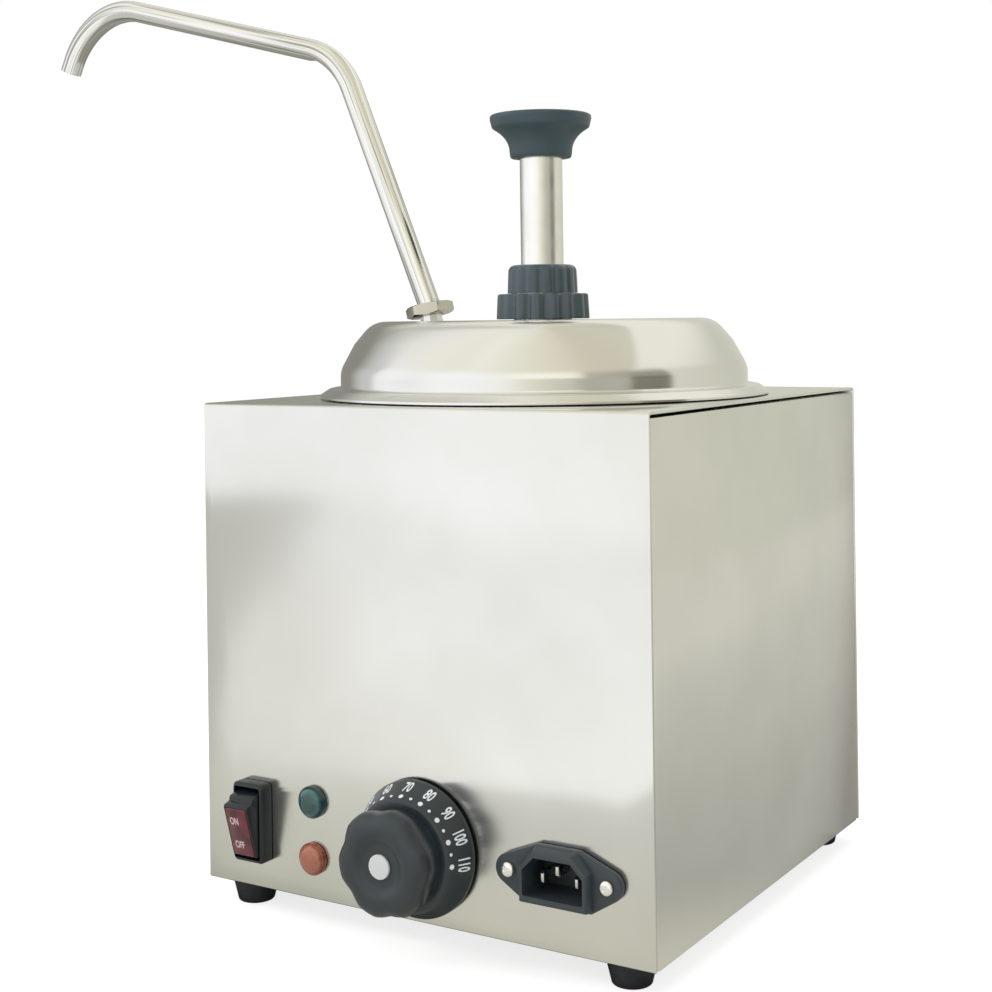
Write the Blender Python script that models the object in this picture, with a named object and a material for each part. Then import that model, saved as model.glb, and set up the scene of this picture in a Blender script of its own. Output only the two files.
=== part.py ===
"""Hot fudge topping warmer: a square steel housing with a heated well, a lift-out
sauce pot, a domed lid with a hand pump and a long bent spout, and its controls.

Metres, +Z up, +X to the right along the front, +Y to the back. The origin is the
centre of the base tray's underside, so the feet reach below it. The spout lies
along -X. Each piece stands in its own section, with its own sizes.
"""

from math import acos, atan2, cos, pi, radians, sin, sqrt, tan

import bmesh
import bpy
from mathutils import Matrix, Vector

# Driving dimensions
housing_width = 0.202
housing_depth = 0.202
housing_sheet = 0.0010
base_room = 0.0650
pot_depth = 0.1165
water_depth = 0.0110
well_side_room = 0.0158
well_radius = min(housing_width, housing_depth) / 2 - well_side_room
well_depth = pot_depth + water_depth
housing_height = base_room + well_depth
lid_rise = 0.0280
plunger_radius = 0.0091
plunger_showing = 0.0459
stroke = 0.0400
tube_radius = 0.0050
tube_bore_radius = 0.0040
seat_gap = 0.0003
cut_overrun = 0.0040
weld_distance = 0.000001

# Facets round a full turn
large_steps = 42
pot_steps = 36
knob_steps = 30
medium_steps = 28
small_steps = 18
tiny_steps = 10
tube_sides = 10
bend_steps = 2
sharp_angle = radians(32)

for old in list(bpy.data.objects):
    bpy.data.objects.remove(old, do_unlink=True)


# Materials

def principled(name, colour, roughness, metallic):
    material = bpy.data.materials.new(name)
    material.use_nodes = True
    shader = material.node_tree.nodes["Principled BSDF"]
    shader.inputs["Base Color"].default_value = (*colour, 1.0)
    shader.inputs["Roughness"].default_value = roughness
    shader.inputs["Metallic"].default_value = metallic
    return material


brushed_steel = principled("brushed_steel", (0.62, 0.62, 0.58), 0.32, 1.0)
polished_steel = principled("polished_steel", (0.72, 0.72, 0.69), 0.12, 1.0)
plated_steel = principled("plated_steel", (0.70, 0.70, 0.70), 0.25, 1.0)
slate_plastic = principled("slate_plastic", (0.060, 0.090, 0.102), 0.45, 0.0)
black_plastic = principled("black_plastic", (0.030, 0.034, 0.036), 0.50, 0.0)
black_rubber = principled("black_rubber", (0.020, 0.022, 0.023), 0.80, 0.0)
dark_silicone = principled("dark_silicone", (0.035, 0.035, 0.033), 0.65, 0.0)
red_lens = principled("red_lens", (0.200, 0.040, 0.050), 0.25, 0.0)
green_lens = principled("green_lens", (0.035, 0.110, 0.105), 0.20, 0.0)
orange_lens = principled("orange_lens", (0.470, 0.150, 0.090), 0.20, 0.0)
grey_disc = principled("grey_disc", (0.55, 0.57, 0.57), 0.35, 0.0)
white_ceramic = principled("white_ceramic", (0.80, 0.79, 0.75), 0.55, 0.0)
white_plastic = principled("white_plastic", (0.72, 0.72, 0.70), 0.45, 0.0)
copper = principled("copper", (0.72, 0.38, 0.22), 0.30, 1.0)


# Shared makers

def rounded(corners, steps=bend_steps):
    """The corners (x, y, radius) of a closed outline, with an arc at each radius."""
    points = []
    count = len(corners)
    for index, (x, y, radius) in enumerate(corners):
        here = Vector((x, y))
        if radius <= 0:
            points.append((x, y))
            continue
        before = Vector(corners[index - 1][:2]) - here
        after = Vector(corners[(index + 1) % count][:2]) - here
        half = acos(max(-1, min(1, before.normalized().dot(after.normalized())))) / 2
        reach = radius / tan(half)
        middle = here + (before.normalized() + after.normalized()).normalized() * radius / sin(half)
        start = here + before.normalized() * reach - middle
        end = here + after.normalized() * reach - middle
        sweep = atan2(start.x * end.y - start.y * end.x, start.dot(end))
        for step in range(steps + 1):
            spoke = Matrix.Rotation(sweep * step / steps, 2) @ start
            points.append(tuple(middle + spoke))
    return points


def made(name, bm, material, smooth=True):
    """Weld a bmesh, turn its faces out and make it an object."""
    bmesh.ops.remove_doubles(bm, verts=bm.verts[:], dist=weld_distance)
    bmesh.ops.recalc_face_normals(bm, faces=bm.faces[:])
    mesh = bpy.data.meshes.new(name)
    bm.to_mesh(mesh)
    bm.free()
    if smooth:
        mesh.shade_smooth()
        mesh.set_sharp_from_angle(angle=sharp_angle)
    piece = bpy.data.objects.new(name, mesh)
    piece.data.materials.append(material)
    bpy.context.scene.collection.objects.link(piece)
    return piece


def turned(name, outline, material, steps=medium_steps):
    """A closed (radius, height) outline spun once round Z."""
    bm = bmesh.new()
    verts = [bm.verts.new((radius, 0, height)) for radius, height in outline]
    edges = [bm.edges.new((verts[i - 1], verts[i])) for i in range(len(verts))
             if outline[i - 1][0] > 0 or outline[i][0] > 0]
    bmesh.ops.spin(bm, geom=verts + edges, cent=(0, 0, 0), axis=(0, 0, 1), angle=2 * pi,
                   steps=steps, use_merge=True, use_duplicate=False)
    return made(name, bm, material)


def slab(name, outline, low, high, material, smooth=True):
    """A closed flat outline in XY, extruded from low to high along Z."""
    bm = bmesh.new()
    face = bm.faces.new([bm.verts.new((x, y, low)) for x, y in outline])
    lifted = bmesh.ops.extrude_face_region(bm, geom=[face])
    raised = [item for item in lifted["geom"] if isinstance(item, bmesh.types.BMVert)]
    bmesh.ops.translate(bm, verts=raised, vec=(0, 0, high - low))
    return made(name, bm, material, smooth)


def block(name, size, centre, material):
    """A plain box, square to the axes."""
    bm = bmesh.new()
    bmesh.ops.create_cube(bm, size=1.0)
    bmesh.ops.scale(bm, vec=size, verts=bm.verts[:])
    bmesh.ops.translate(bm, vec=centre, verts=bm.verts[:])
    return made(name, bm, material, smooth=False)


def lofted(name, rings, material):
    """Rings of as many points each, joined in turn and closed by a flat or a point at each end."""
    bm = bmesh.new()
    loops = []
    for ring in rings:
        loops.append([bm.verts.new(point) for point in ring])
    for lower, upper in zip(loops, loops[1:]):
        count = len(lower)
        for i in range(count):
            bm.faces.new((lower[i - 1], lower[i], upper[i], upper[i - 1]))
    bm.faces.new(list(reversed(loops[0])))
    bm.faces.new(loops[-1])
    return made(name, bm, material)


def swept(name, path, radii, material, bore=0, sides=tube_sides):
    """A round rod along a path of (x, y, z), or a tube where it has a bore."""
    path = [Vector(point) for point in path]
    bm = bmesh.new()
    aim = (path[1] - path[0]).normalized()
    side = aim.orthogonal().normalized()
    skins = ([], [])
    for index, point in enumerate(path):
        ahead = path[min(index + 1, len(path) - 1)] - point
        behind = point - path[max(index - 1, 0)]
        heading = (ahead.normalized() + behind.normalized()).normalized()
        side = (aim.rotation_difference(heading) @ side).normalized()
        aim = heading
        other = aim.cross(side)
        for skin, radius in zip(skins, (radii[index], bore)):
            if radius > 0:
                spokes = [2 * pi * i / sides for i in range(sides)]
                skin.append([bm.verts.new(point + radius * (cos(a) * side + sin(a) * other))
                             for a in spokes])
    for skin in skins:
        for lower, upper in zip(skin, skin[1:]):
            for i in range(sides):
                bm.faces.new((lower[i - 1], lower[i], upper[i], upper[i - 1]))
    for end in (0, -1):
        outer = skins[0][end]
        if bore > 0:
            inner = skins[1][end]
            for i in range(sides):
                bm.faces.new((outer[i - 1], outer[i], inner[i], inner[i - 1]))
        else:
            bm.faces.new(outer)
    return made(name, bm, material)


def lobed_ring(radius, height, lobes, depth, steps_per_lobe, low=0, turn=0):
    """A ring of points whose radius dips by depth once per lobe."""
    count = lobes * steps_per_lobe
    ring = []
    for i in range(count):
        angle = 2 * pi * i / count
        dip = depth * max(low, cos(lobes * (angle - turn)))
        ring.append(((radius - dip) * cos(angle), (radius - dip) * sin(angle), height))
    return ring


def walled(outline, wall):
    """An open (radius, height) outline that runs inwards, closed by the same outline set in by the wall."""
    inner = []
    for index, point in enumerate(outline):
        here = Vector(point)
        runs = []
        if index > 0:
            runs.append((here - Vector(outline[index - 1])).normalized())
        if index < len(outline) - 1:
            runs.append((Vector(outline[index + 1]) - here).normalized())
        normals = [Vector((-run.y, run.x)) for run in runs]
        mitre = (normals[0] + normals[-1]) / (1 + normals[0].dot(normals[-1]))
        inner.append(tuple(here + mitre * wall))
    return outline + list(reversed(inner))


def hexagon(corner_radius, turn=0):
    return [(corner_radius * cos(turn + pi * i / 3), corner_radius * sin(turn + pi * i / 3))
            for i in range(6)]


def circle(radius, x=0, y=0, steps=tiny_steps):
    return [(x + radius * cos(2 * pi * i / steps), y + radius * sin(2 * pi * i / steps))
            for i in range(steps)]


def tool(piece):
    """Mark a piece as a cutter, which is no part of the object."""
    piece.hide_render = True
    piece.display_type = "WIRE"
    return piece


def carve(piece, cutter, operation="DIFFERENCE"):
    tool(cutter)
    step = piece.modifiers.new(cutter.name, "BOOLEAN")
    step.operation = operation
    step.solver = "EXACT"
    step.object = cutter


def on_front(piece, x, z, proud=0, tilt=0):
    """Stand a piece on the front panel: its own Z points out of the panel and its Y up."""
    piece.location = (x, -housing_depth / 2 - proud, z)
    piece.rotation_euler = (pi / 2 + tilt, 0, 0)
    return piece


# Housing: one folded sheet makes the front, the top and the back
fold_radius = 0.0022
half_width = housing_width / 2
half_depth = housing_depth / 2
top_under = housing_height - housing_sheet

shell_outline = rounded([
    (-half_depth, 0, 0),
    (-half_depth, housing_height, fold_radius),
    (half_depth, housing_height, fold_radius),
    (half_depth, 0, 0),
    (half_depth - housing_sheet, 0, 0),
    (half_depth - housing_sheet, top_under, fold_radius - housing_sheet),
    (-half_depth + housing_sheet, top_under, fold_radius - housing_sheet),
    (-half_depth + housing_sheet, 0, 0),
])
wrap_shell = slab("wrap_shell", shell_outline, -half_width, half_width, brushed_steel)
wrap_shell.rotation_euler = (pi / 2, 0, pi / 2)
well_hole = turned("well_hole", [(0, top_under - cut_overrun), (well_radius, top_under - cut_overrun),
                                 (well_radius, housing_height + cut_overrun),
                                 (0, housing_height + cut_overrun)], brushed_steel, large_steps)
carve(wrap_shell, well_hole)


def front_hole(name, outline, x, z):
    """A cut-out through the front panel."""
    cutter = slab(name, outline, -housing_sheet - cut_overrun, cut_overrun, brushed_steel)
    on_front(cutter, x, z)
    carve(wrap_shell, cutter)


# Side panels: pans set in between the front and the back, with a dark seam round them
panel_flange = 0.0100
panel_seam = 0.0005
panel_top_seam = 0.0005
panel_fold_radius = 0.0010
panel_top = top_under - panel_top_seam
panel_half_depth = half_depth - housing_sheet - panel_seam

for side, sign in (("left", -1), ("right", 1)):
    bm = bmesh.new()
    bmesh.ops.create_cube(bm, size=1.0)
    bmesh.ops.scale(bm, vec=(panel_flange, 2 * panel_half_depth, panel_top), verts=bm.verts[:])
    bmesh.ops.translate(bm, vec=(sign * (half_width - panel_flange / 2), 0, panel_top / 2), verts=bm.verts[:])
    outer = [edge for edge in bm.edges
             if all(abs(abs(v.co.x) - half_width) < weld_distance for v in edge.verts)
             and any(v.co.z > panel_top / 2 for v in edge.verts)]
    bmesh.ops.bevel(bm, geom=outer, offset=panel_fold_radius, segments=2, profile=0.5, affect="EDGES")
    panel = made("side_panel_" + side, bm, brushed_steel)
    hollow_width = panel_flange - housing_sheet + cut_overrun
    carve(panel, block("panel_hollow_" + side,
                       (hollow_width, 2 * (panel_half_depth - housing_sheet),
                        panel_top - housing_sheet + cut_overrun),
                       (sign * (half_width - housing_sheet - hollow_width / 2), 0,
                        (panel_top - housing_sheet - cut_overrun) / 2), brushed_steel))


# Front row: the switch, the lamps, the dial and the inlet share the width left between the panels
collar_width = 0.0156
lens_radius = 0.0063
skirt_radius = 0.0260
inlet_screw_spacing = 0.0400
ear_radius = 0.0056
row_gap_shares = (0.14625, 0.29051, 0.34980, 0.18972, 0.02372)
row_widths = (collar_width, 2 * lens_radius, 2 * skirt_radius, inlet_screw_spacing + 2 * ear_radius)
row_free = housing_width - 2 * panel_flange - sum(row_widths)
row_places = []
row_reach = -half_width + panel_flange
for width, gap_share in zip(row_widths, row_gap_shares):
    row_reach += row_free * gap_share
    row_places.append(row_reach + width / 2)
    row_reach += width
switch_x, lamp_x, dial_x, inlet_x = row_places


# Base tray: the floor, with turned-up walls, vents and the holes of the foot screws
tray_wall_height = 0.0100
tray_half_x = half_width - housing_sheet - seat_gap
tray_half_y = panel_half_depth - housing_sheet - seat_gap
vent_length = 0.0300
vent_width = 0.0040
vent_pitch = 0.0120
vents_in_row = 5
vent_row_x = 0.0400
foot_inset_x = 0.0150
foot_inset_y = 0.0112
foot_screw_radius = 0.0019
foot_screw_clearance = 0.0004

base_tray = block("base_tray", (2 * tray_half_x, 2 * tray_half_y, tray_wall_height),
                  (0, 0, tray_wall_height / 2), brushed_steel)
carve(base_tray, block("tray_hollow", (2 * (tray_half_x - housing_sheet), 2 * (tray_half_y - housing_sheet),
                                       tray_wall_height - housing_sheet + cut_overrun),
                       (0, 0, (tray_wall_height + housing_sheet + cut_overrun) / 2), brushed_steel))
foot_places = {
    "front_left": (-half_width + foot_inset_x, -half_depth + foot_inset_y),
    "front_right": (half_width - foot_inset_x, -half_depth + foot_inset_y),
    "rear_left": (-half_width + foot_inset_x, half_depth - foot_inset_y),
    "rear_right": (half_width - foot_inset_x, half_depth - foot_inset_y),
}
for corner, (x, y) in foot_places.items():
    hole = slab("foot_hole_" + corner, circle(foot_screw_radius + foot_screw_clearance),
                -cut_overrun, housing_sheet + cut_overrun, brushed_steel)
    hole.location = (x, y, 0)
    carve(base_tray, hole)
for side, sign in (("left", -1), ("right", 1)):
    for i in range(vents_in_row):
        slot = [(x, y, vent_width / 2) for x, y in (
            (-vent_length / 2, -vent_width / 2), (vent_length / 2, -vent_width / 2),
            (vent_length / 2, vent_width / 2), (-vent_length / 2, vent_width / 2))]
        vent = slab("vent_" + side + str(i), rounded(slot, 1), -cut_overrun, housing_sheet + cut_overrun,
                    brushed_steel)
        vent.location = (sign * vent_row_x, (i - (vents_in_row - 1) / 2) * vent_pitch, 0)
        carve(base_tray, vent)


# Feet: tapered rubber, each held by a screw in a recess
foot_height = 0.0093
foot_top_radius = 0.0093
foot_bottom_radius = 0.0072
foot_edge_radius = 0.0008
foot_recess_radius = 0.0045
foot_recess_depth = 0.0050
screw_head_height = 0.0024
screw_head_clearance = 0.0005
foot_screw_reach = 0.0050
foot_bottom = -seat_gap - foot_height

for corner, (x, y) in foot_places.items():
    foot = turned("foot_" + corner, rounded([
        (foot_recess_radius, foot_bottom, 0),
        (foot_bottom_radius, foot_bottom, foot_edge_radius),
        (foot_top_radius, -seat_gap, 0),
        (foot_screw_radius + foot_screw_clearance, -seat_gap, 0),
        (foot_screw_radius + foot_screw_clearance, foot_bottom + foot_recess_depth, 0),
        (foot_recess_radius, foot_bottom + foot_recess_depth, 0)], 1), black_rubber, small_steps)
    foot.location = (x, y, 0)
    head_top = foot_bottom + foot_recess_depth - seat_gap
    head_radius = foot_recess_radius - screw_head_clearance
    screw = turned("foot_screw_" + corner, [
        (0, head_top - screw_head_height), (head_radius, head_top - screw_head_height),
        (head_radius, head_top), (foot_screw_radius, head_top), (foot_screw_radius, foot_screw_reach),
        (0, foot_screw_reach)],
        plated_steel, tiny_steps)
    screw.location = (x, y, 0)


# Heating well: a drawn steel tub hung under the top, with a welded stud below its floor
well_wall = 0.0008
well_flange_width = 0.0040
well_corner_radius = 0.0080
stud_radius = 0.0025
stud_length = 0.0160
well_rim_top = top_under - seat_gap
well_floor = housing_height - well_depth
well_under = well_floor - well_wall
well_outer_radius = well_radius + well_wall

heating_well = turned("heating_well", rounded([
    (0, well_under - stud_length, 0),
    (stud_radius, well_under - stud_length, 0),
    (stud_radius, well_under, 0),
    (well_outer_radius, well_under, well_corner_radius + well_wall),
    (well_outer_radius, well_rim_top - well_wall, 0),
    (well_radius + well_flange_width, well_rim_top - well_wall, 0),
    (well_radius + well_flange_width, well_rim_top, 0),
    (well_radius, well_rim_top, 0),
    (well_radius, well_floor, well_corner_radius),
    (0, well_floor, 0)]), brushed_steel, pot_steps)


# Heating element: an open ring of sheathed heater under the well, with its ends turned down
element_radius = 0.0033
element_ring_radius = 0.0520
element_opening_angle = radians(24)
element_end_drop = 0.0140
element_end_bend = 0.0060
element_height = well_under - seat_gap - element_radius
ring_steps = 28

ring_points = []
for step in range(ring_steps + 1):
    angle = pi / 2 + element_opening_angle / 2 + (2 * pi - element_opening_angle) * step / ring_steps
    ring_points.append((element_ring_radius * cos(angle), element_ring_radius * sin(angle), element_height))


def turned_down(end, beyond):
    """The end of the ring run on along its tangent and bent down, from the tip to the ring."""
    start = Vector(end)
    heading = (start - Vector(beyond)).normalized()
    elbow = start + heading * element_end_bend
    points = []
    for step in range(1, bend_steps + 1):
        angle = pi / 2 * step / bend_steps
        points.append(start + heading * element_end_bend * sin(angle)
                      - Vector((0, 0, element_end_bend * (1 - cos(angle)))))
    points.append(elbow - Vector((0, 0, element_end_drop)))
    return points


element_path = list(reversed(turned_down(ring_points[0], ring_points[1]))) + ring_points
element_path += turned_down(ring_points[-1], ring_points[-2])
swept("heating_element", element_path, [element_radius] * len(element_path), plated_steel, sides=5)

# The bar that clamps the element up to the well, and its nut on the stud
clamp_width = 0.0180
clamp_thickness = 0.0020
clamp_overhang = 0.0060
nut_corner_radius = 0.0052
nut_height = 0.0040
stud_clearance = 0.0004
clamp_top = element_height - element_radius - seat_gap
clamp_half_length = element_ring_radius + clamp_overhang

clamp_bar = block("element_clamp", (2 * clamp_half_length, clamp_width, clamp_thickness),
                  (0, 0, clamp_top - clamp_thickness / 2), plated_steel)
carve(clamp_bar, slab("clamp_hole", circle(stud_radius + stud_clearance),
                      clamp_top - clamp_thickness - cut_overrun, clamp_top + cut_overrun, plated_steel))
clamp_nut = slab("clamp_nut", hexagon(nut_corner_radius), clamp_top - clamp_thickness - seat_gap - nut_height,
                 clamp_top - clamp_thickness - seat_gap, plated_steel, smooth=False)
carve(clamp_nut, slab("clamp_nut_bore", circle(stud_radius + stud_clearance),
                      clamp_top - clamp_thickness - nut_height - cut_overrun, clamp_top + cut_overrun,
                      plated_steel))

# Thermal cut-out: a round safety switch held against the well's floor
cutout_radius = 0.0080
cutout_neck_radius = 0.0068
cutout_flange = 0.0012
cutout_height = 0.0090
cutout_y = 0.0270
cutout = turned("thermal_cutout", [
    (0, well_under - seat_gap - cutout_height), (cutout_neck_radius, well_under - seat_gap - cutout_height),
    (cutout_neck_radius, well_under - seat_gap - cutout_flange),
    (cutout_radius, well_under - seat_gap - cutout_flange), (cutout_radius, well_under - seat_gap),
    (0, well_under - seat_gap)], black_plastic, small_steps)
cutout.location = (0, cutout_y, 0)

# Terminal block: white ceramic on the tray
block_length = 0.0420
block_width = 0.0180
block_height = 0.0140
block_step = 0.0050
block_x = -0.0480
block_y = 0.0520
terminal_block = slab("terminal_block", [
    (-block_width / 2, 0), (block_width / 2, 0), (block_width / 2, block_height - block_step),
    (block_width / 2 - block_step, block_height), (-block_width / 2 + block_step, block_height),
    (-block_width / 2, block_height - block_step)], -block_length / 2, block_length / 2, white_ceramic,
    smooth=False)
terminal_block.rotation_euler = (pi / 2, 0, pi / 2)
terminal_block.location = (block_x, block_y, housing_sheet + seat_gap)


# Thermostat: a box behind the panel with a bush through it, and a sensing bulb on the well
dial_z = 0.0281
thermostat_width = 0.0360
thermostat_height = 0.0300
thermostat_depth = 0.0260
bush_radius = 0.0042
bush_proud = 0.0060
shaft_radius = 0.0030
shaft_clearance = 0.0003
shaft_tail = 0.0060
panel_clearance = 0.0003

thermostat_front = -housing_sheet - seat_gap
thermostat = slab("thermostat_body", [
    (-thermostat_width / 2, -thermostat_height / 2), (thermostat_width / 2, -thermostat_height / 2),
    (thermostat_width / 2, thermostat_height / 2), (-thermostat_width / 2, thermostat_height / 2)],
    thermostat_front - thermostat_depth, thermostat_front, white_plastic, smooth=False)
on_front(thermostat, dial_x, dial_z)
bush = slab("thermostat_bush", circle(bush_radius, steps=small_steps), thermostat_front - seat_gap,
            bush_proud, white_plastic)
on_front(bush, dial_x, dial_z)
carve(thermostat, bush, "UNION")
bush_bore = slab("bush_bore", circle(shaft_radius + shaft_clearance, steps=small_steps),
                 thermostat_front - shaft_tail - seat_gap, bush_proud + cut_overrun, white_plastic)
on_front(bush_bore, dial_x, dial_z)
carve(thermostat, bush_bore)
front_hole("bush_hole", circle(bush_radius + panel_clearance, steps=small_steps), dial_x, dial_z)

bulb_radius = 0.0030
bulb_length = 0.0600
bulb_bottom_rise = 0.0140
bulb_angle = radians(-48)
capillary_radius = 0.0010
bulb_axis = well_outer_radius + seat_gap + bulb_radius
bulb_foot = Vector((bulb_axis * cos(bulb_angle), bulb_axis * sin(bulb_angle), well_under + bulb_bottom_rise))
capillary_start = Vector((dial_x + thermostat_width / 2 + seat_gap,
                          -half_depth - thermostat_front + thermostat_depth / 2, dial_z))
capillary_steps = 10
bulb_path = []
for step in range(capillary_steps + 1):
    share = step / capillary_steps
    ease = share * share * (3 - 2 * share)
    point = capillary_start.lerp(bulb_foot, ease)
    point.x = capillary_start.x + (bulb_foot.x - capillary_start.x) * sin(share * pi / 2)
    point.z = capillary_start.z + (bulb_foot.z - capillary_start.z) * (1 - cos(share * pi / 2))
    bulb_path.append(point)
bulb_path.append(bulb_foot + Vector((0, 0, bulb_radius)))
bulb_path.append(bulb_foot + Vector((0, 0, bulb_length - bulb_radius)))
bulb_path.append(bulb_foot + Vector((0, 0, bulb_length)))
bulb_radii = [capillary_radius] * (capillary_steps + 1) + [bulb_radius, bulb_radius, capillary_radius]
swept("thermostat_bulb", bulb_path, bulb_radii, copper, sides=6)


# Dial: a bezel ring on the panel, and a one-piece knob whose conical skirt carries the scale
bezel_radius = 0.0246
bezel_inner_radius = 0.0186
bezel_thickness = 0.0012
bezel_tab_radius = 0.0272
bezel_tab_angle = radians(105)
bezel_tab_spread = radians(15)
skirt_lip = 0.0010
skirt_top_radius = 0.0202
skirt_height = 0.0107
skirt_wall = 0.0015
hub_radius = 0.0058
grip_height = 0.0142
grip_foot_radius = 0.0176
grip_radius = 0.0200
grip_face_radius = 0.0150
grip_lobes = 6
grip_lobe_depth = 0.0011
grip_lobe_turn = radians(40)
grip_shoulder = 0.0042
dish_radius = 0.0112
dish_floor_radius = 0.0072
dish_depth = 0.0016
knob_bore_depth = 0.0090
cap_radius = 0.0056
cap_thickness = 0.0008
grip_dip_floor_share = -0.4
grip_lobe_shares = (0.0, 0.2, 0.8, 1.0, 1.0, 0.7, 0.0, 0.0)
steps_per_grip_lobe = 6
skirt_foot = seat_gap + bezel_thickness + seat_gap
skirt_top = skirt_foot + skirt_height
skirt_roof = skirt_top - skirt_wall
hub_foot = bush_proud + seat_gap
grip_top = skirt_top + grip_height

bezel_outline = [(bezel_tab_radius * cos(bezel_tab_angle), bezel_tab_radius * sin(bezel_tab_angle))]
bezel_sweep = 2 * pi - 2 * bezel_tab_spread
for step in range(knob_steps + 1):
    angle = bezel_tab_angle + bezel_tab_spread + bezel_sweep * step / knob_steps
    bezel_outline.append((bezel_radius * cos(angle), bezel_radius * sin(angle)))
dial_bezel = slab("dial_bezel", bezel_outline, seat_gap, seat_gap + bezel_thickness, black_plastic)
on_front(dial_bezel, dial_x, dial_z)
bezel_hole = slab("bezel_hole", circle(bezel_inner_radius, steps=knob_steps), -cut_overrun,
                  bezel_thickness + cut_overrun, black_plastic)
on_front(bezel_hole, dial_x, dial_z)
carve(dial_bezel, bezel_hole)

dial_knob = turned("dial_knob", [
    (0, hub_foot), (hub_radius, hub_foot), (hub_radius, skirt_roof),
    (skirt_top_radius - skirt_wall, skirt_roof), (skirt_radius - skirt_wall, skirt_foot + skirt_lip),
    (skirt_radius - skirt_wall, skirt_foot), (skirt_radius, skirt_foot),
    (skirt_radius, skirt_foot + skirt_lip), (skirt_top_radius, skirt_top), (0, skirt_top)],
    black_plastic, knob_steps)
on_front(dial_knob, dial_x, dial_z)
grip_profile = (
    (grip_foot_radius, skirt_top - skirt_wall / 2), (grip_foot_radius, skirt_top + grip_shoulder / 3),
    (grip_radius, skirt_top + grip_height / 2), (grip_radius, grip_top - grip_shoulder),
    ((grip_radius + grip_face_radius) / 2, grip_top - grip_shoulder / 4), (grip_face_radius, grip_top),
    (dish_radius, grip_top - dish_depth / 4), (dish_floor_radius, grip_top - dish_depth))
grip_rings = []
for (radius, height), lobe_share in zip(grip_profile, grip_lobe_shares):
    grip_rings.append(lobed_ring(radius, height, grip_lobes, grip_lobe_depth * lobe_share,
                                 steps_per_grip_lobe, grip_dip_floor_share, grip_lobe_turn))
grip = lofted("dial_grip", grip_rings, black_plastic)
on_front(grip, dial_x, dial_z)
carve(dial_knob, grip, "UNION")
knob_bore = slab("knob_bore", circle(shaft_radius + shaft_clearance, steps=small_steps),
                 hub_foot - cut_overrun, skirt_top + knob_bore_depth, black_plastic)
on_front(knob_bore, dial_x, dial_z)
carve(dial_knob, knob_bore)
dish_floor = grip_top - dish_depth
dial_cap = turned("dial_cap", [
    (0, dish_floor + seat_gap), (cap_radius, dish_floor + seat_gap),
    (cap_radius, dish_floor + seat_gap + cap_thickness), (0, dish_floor + seat_gap + cap_thickness)],
    grey_disc, small_steps)
on_front(dial_cap, dial_x, dial_z)
shaft = slab("thermostat_shaft", circle(shaft_radius, steps=small_steps), thermostat_front - shaft_tail,
             skirt_top + knob_bore_depth - seat_gap, plated_steel)
on_front(shaft, dial_x, dial_z)

# The two screws under the dial that hold the thermostat to the panel
thermostat_screw_spacing = 0.0280
thermostat_screw_radius = 0.0018
thermostat_screw_clearance = 0.0003
thermostat_screw_length = 0.0080
thermostat_head_radius = 0.0033
thermostat_head_height = 0.0022
for side, sign in (("left", -1), ("right", 1)):
    x = dial_x + sign * thermostat_screw_spacing / 2
    hole = circle(thermostat_screw_radius + thermostat_screw_clearance)
    front_hole("thermostat_panel_hole_" + side, hole, x, dial_z)
    body_hole = slab("thermostat_body_hole_" + side, hole, -thermostat_screw_length - seat_gap, cut_overrun,
                     white_plastic)
    on_front(body_hole, x, dial_z)
    carve(thermostat, body_hole)
    screw = turned("thermostat_screw_" + side, [
        (0, seat_gap - thermostat_screw_length),
        (thermostat_screw_radius, seat_gap - thermostat_screw_length),
        (thermostat_screw_radius, seat_gap), (thermostat_head_radius, seat_gap),
        (thermostat_head_radius, seat_gap + thermostat_head_height), (0, seat_gap + thermostat_head_height)],
        plated_steel, tiny_steps)
    on_front(screw, x, dial_z)


# Indicator lamps: a domed lens on the panel and a round body through it
lamp_green_z = 0.0381
lamp_orange_z = 0.0160
lens_rim = 0.0012
lens_height = 0.0026
lens_dome_steps = 4
lamp_body_radius = 0.0046
lamp_body_length = 0.0220

for colour, z, lens_material in (("green", lamp_green_z, green_lens),
                                 ("orange", lamp_orange_z, orange_lens)):
    dome = [(0, seat_gap), (lens_radius, seat_gap), (lens_radius, seat_gap + lens_rim)]
    dome_rise = lens_height - lens_rim
    for step in range(1, lens_dome_steps):
        angle = pi / 2 * step / lens_dome_steps
        dome.append((lens_radius * cos(angle), seat_gap + lens_rim + dome_rise * sin(angle)))
    dome.append((0, seat_gap + lens_height))
    lens = turned("lamp_" + colour + "_lens", dome, lens_material, small_steps)
    on_front(lens, lamp_x, z)
    body = turned("lamp_" + colour + "_body", rounded([
        (0, -lamp_body_length, 0), (lamp_body_radius, -lamp_body_length, lamp_body_radius / 4),
        (lamp_body_radius, 0, 0), (0, 0, 0)], 1), white_plastic, tiny_steps)
    on_front(body, lamp_x, z)
    front_hole("lamp_hole_" + colour, circle(lamp_body_radius + panel_clearance, steps=small_steps),
               lamp_x, z)


# Rocker switch: a deep collar on the panel, and a rocker with a red lens that tips in it
switch_z = 0.0269
collar_height = 0.0312
collar_proud = 0.0063
collar_chamfer = 0.0012
switch_wall = 0.0013
rocker_width = 0.0120
rocker_side_clearance = 0.0003
rocker_end_clearance = 0.0006
pivot_proud = 0.0018
rocker_tilt = radians(16)
rocker_face_rise = 0.0089
rocker_face_half = 0.0112
rocker_shoulder_rise = 0.0045
rocker_shoulder_half = 0.0128
rocker_tail = 0.0040
rocker_edge_radius = 0.0009
switch_depth = 0.0240
switch_floor = 0.0140
body_inset = 0.0006
lens_margin = 0.0009
lens_depth = 0.0024
lens_proud = 0.0003

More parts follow.
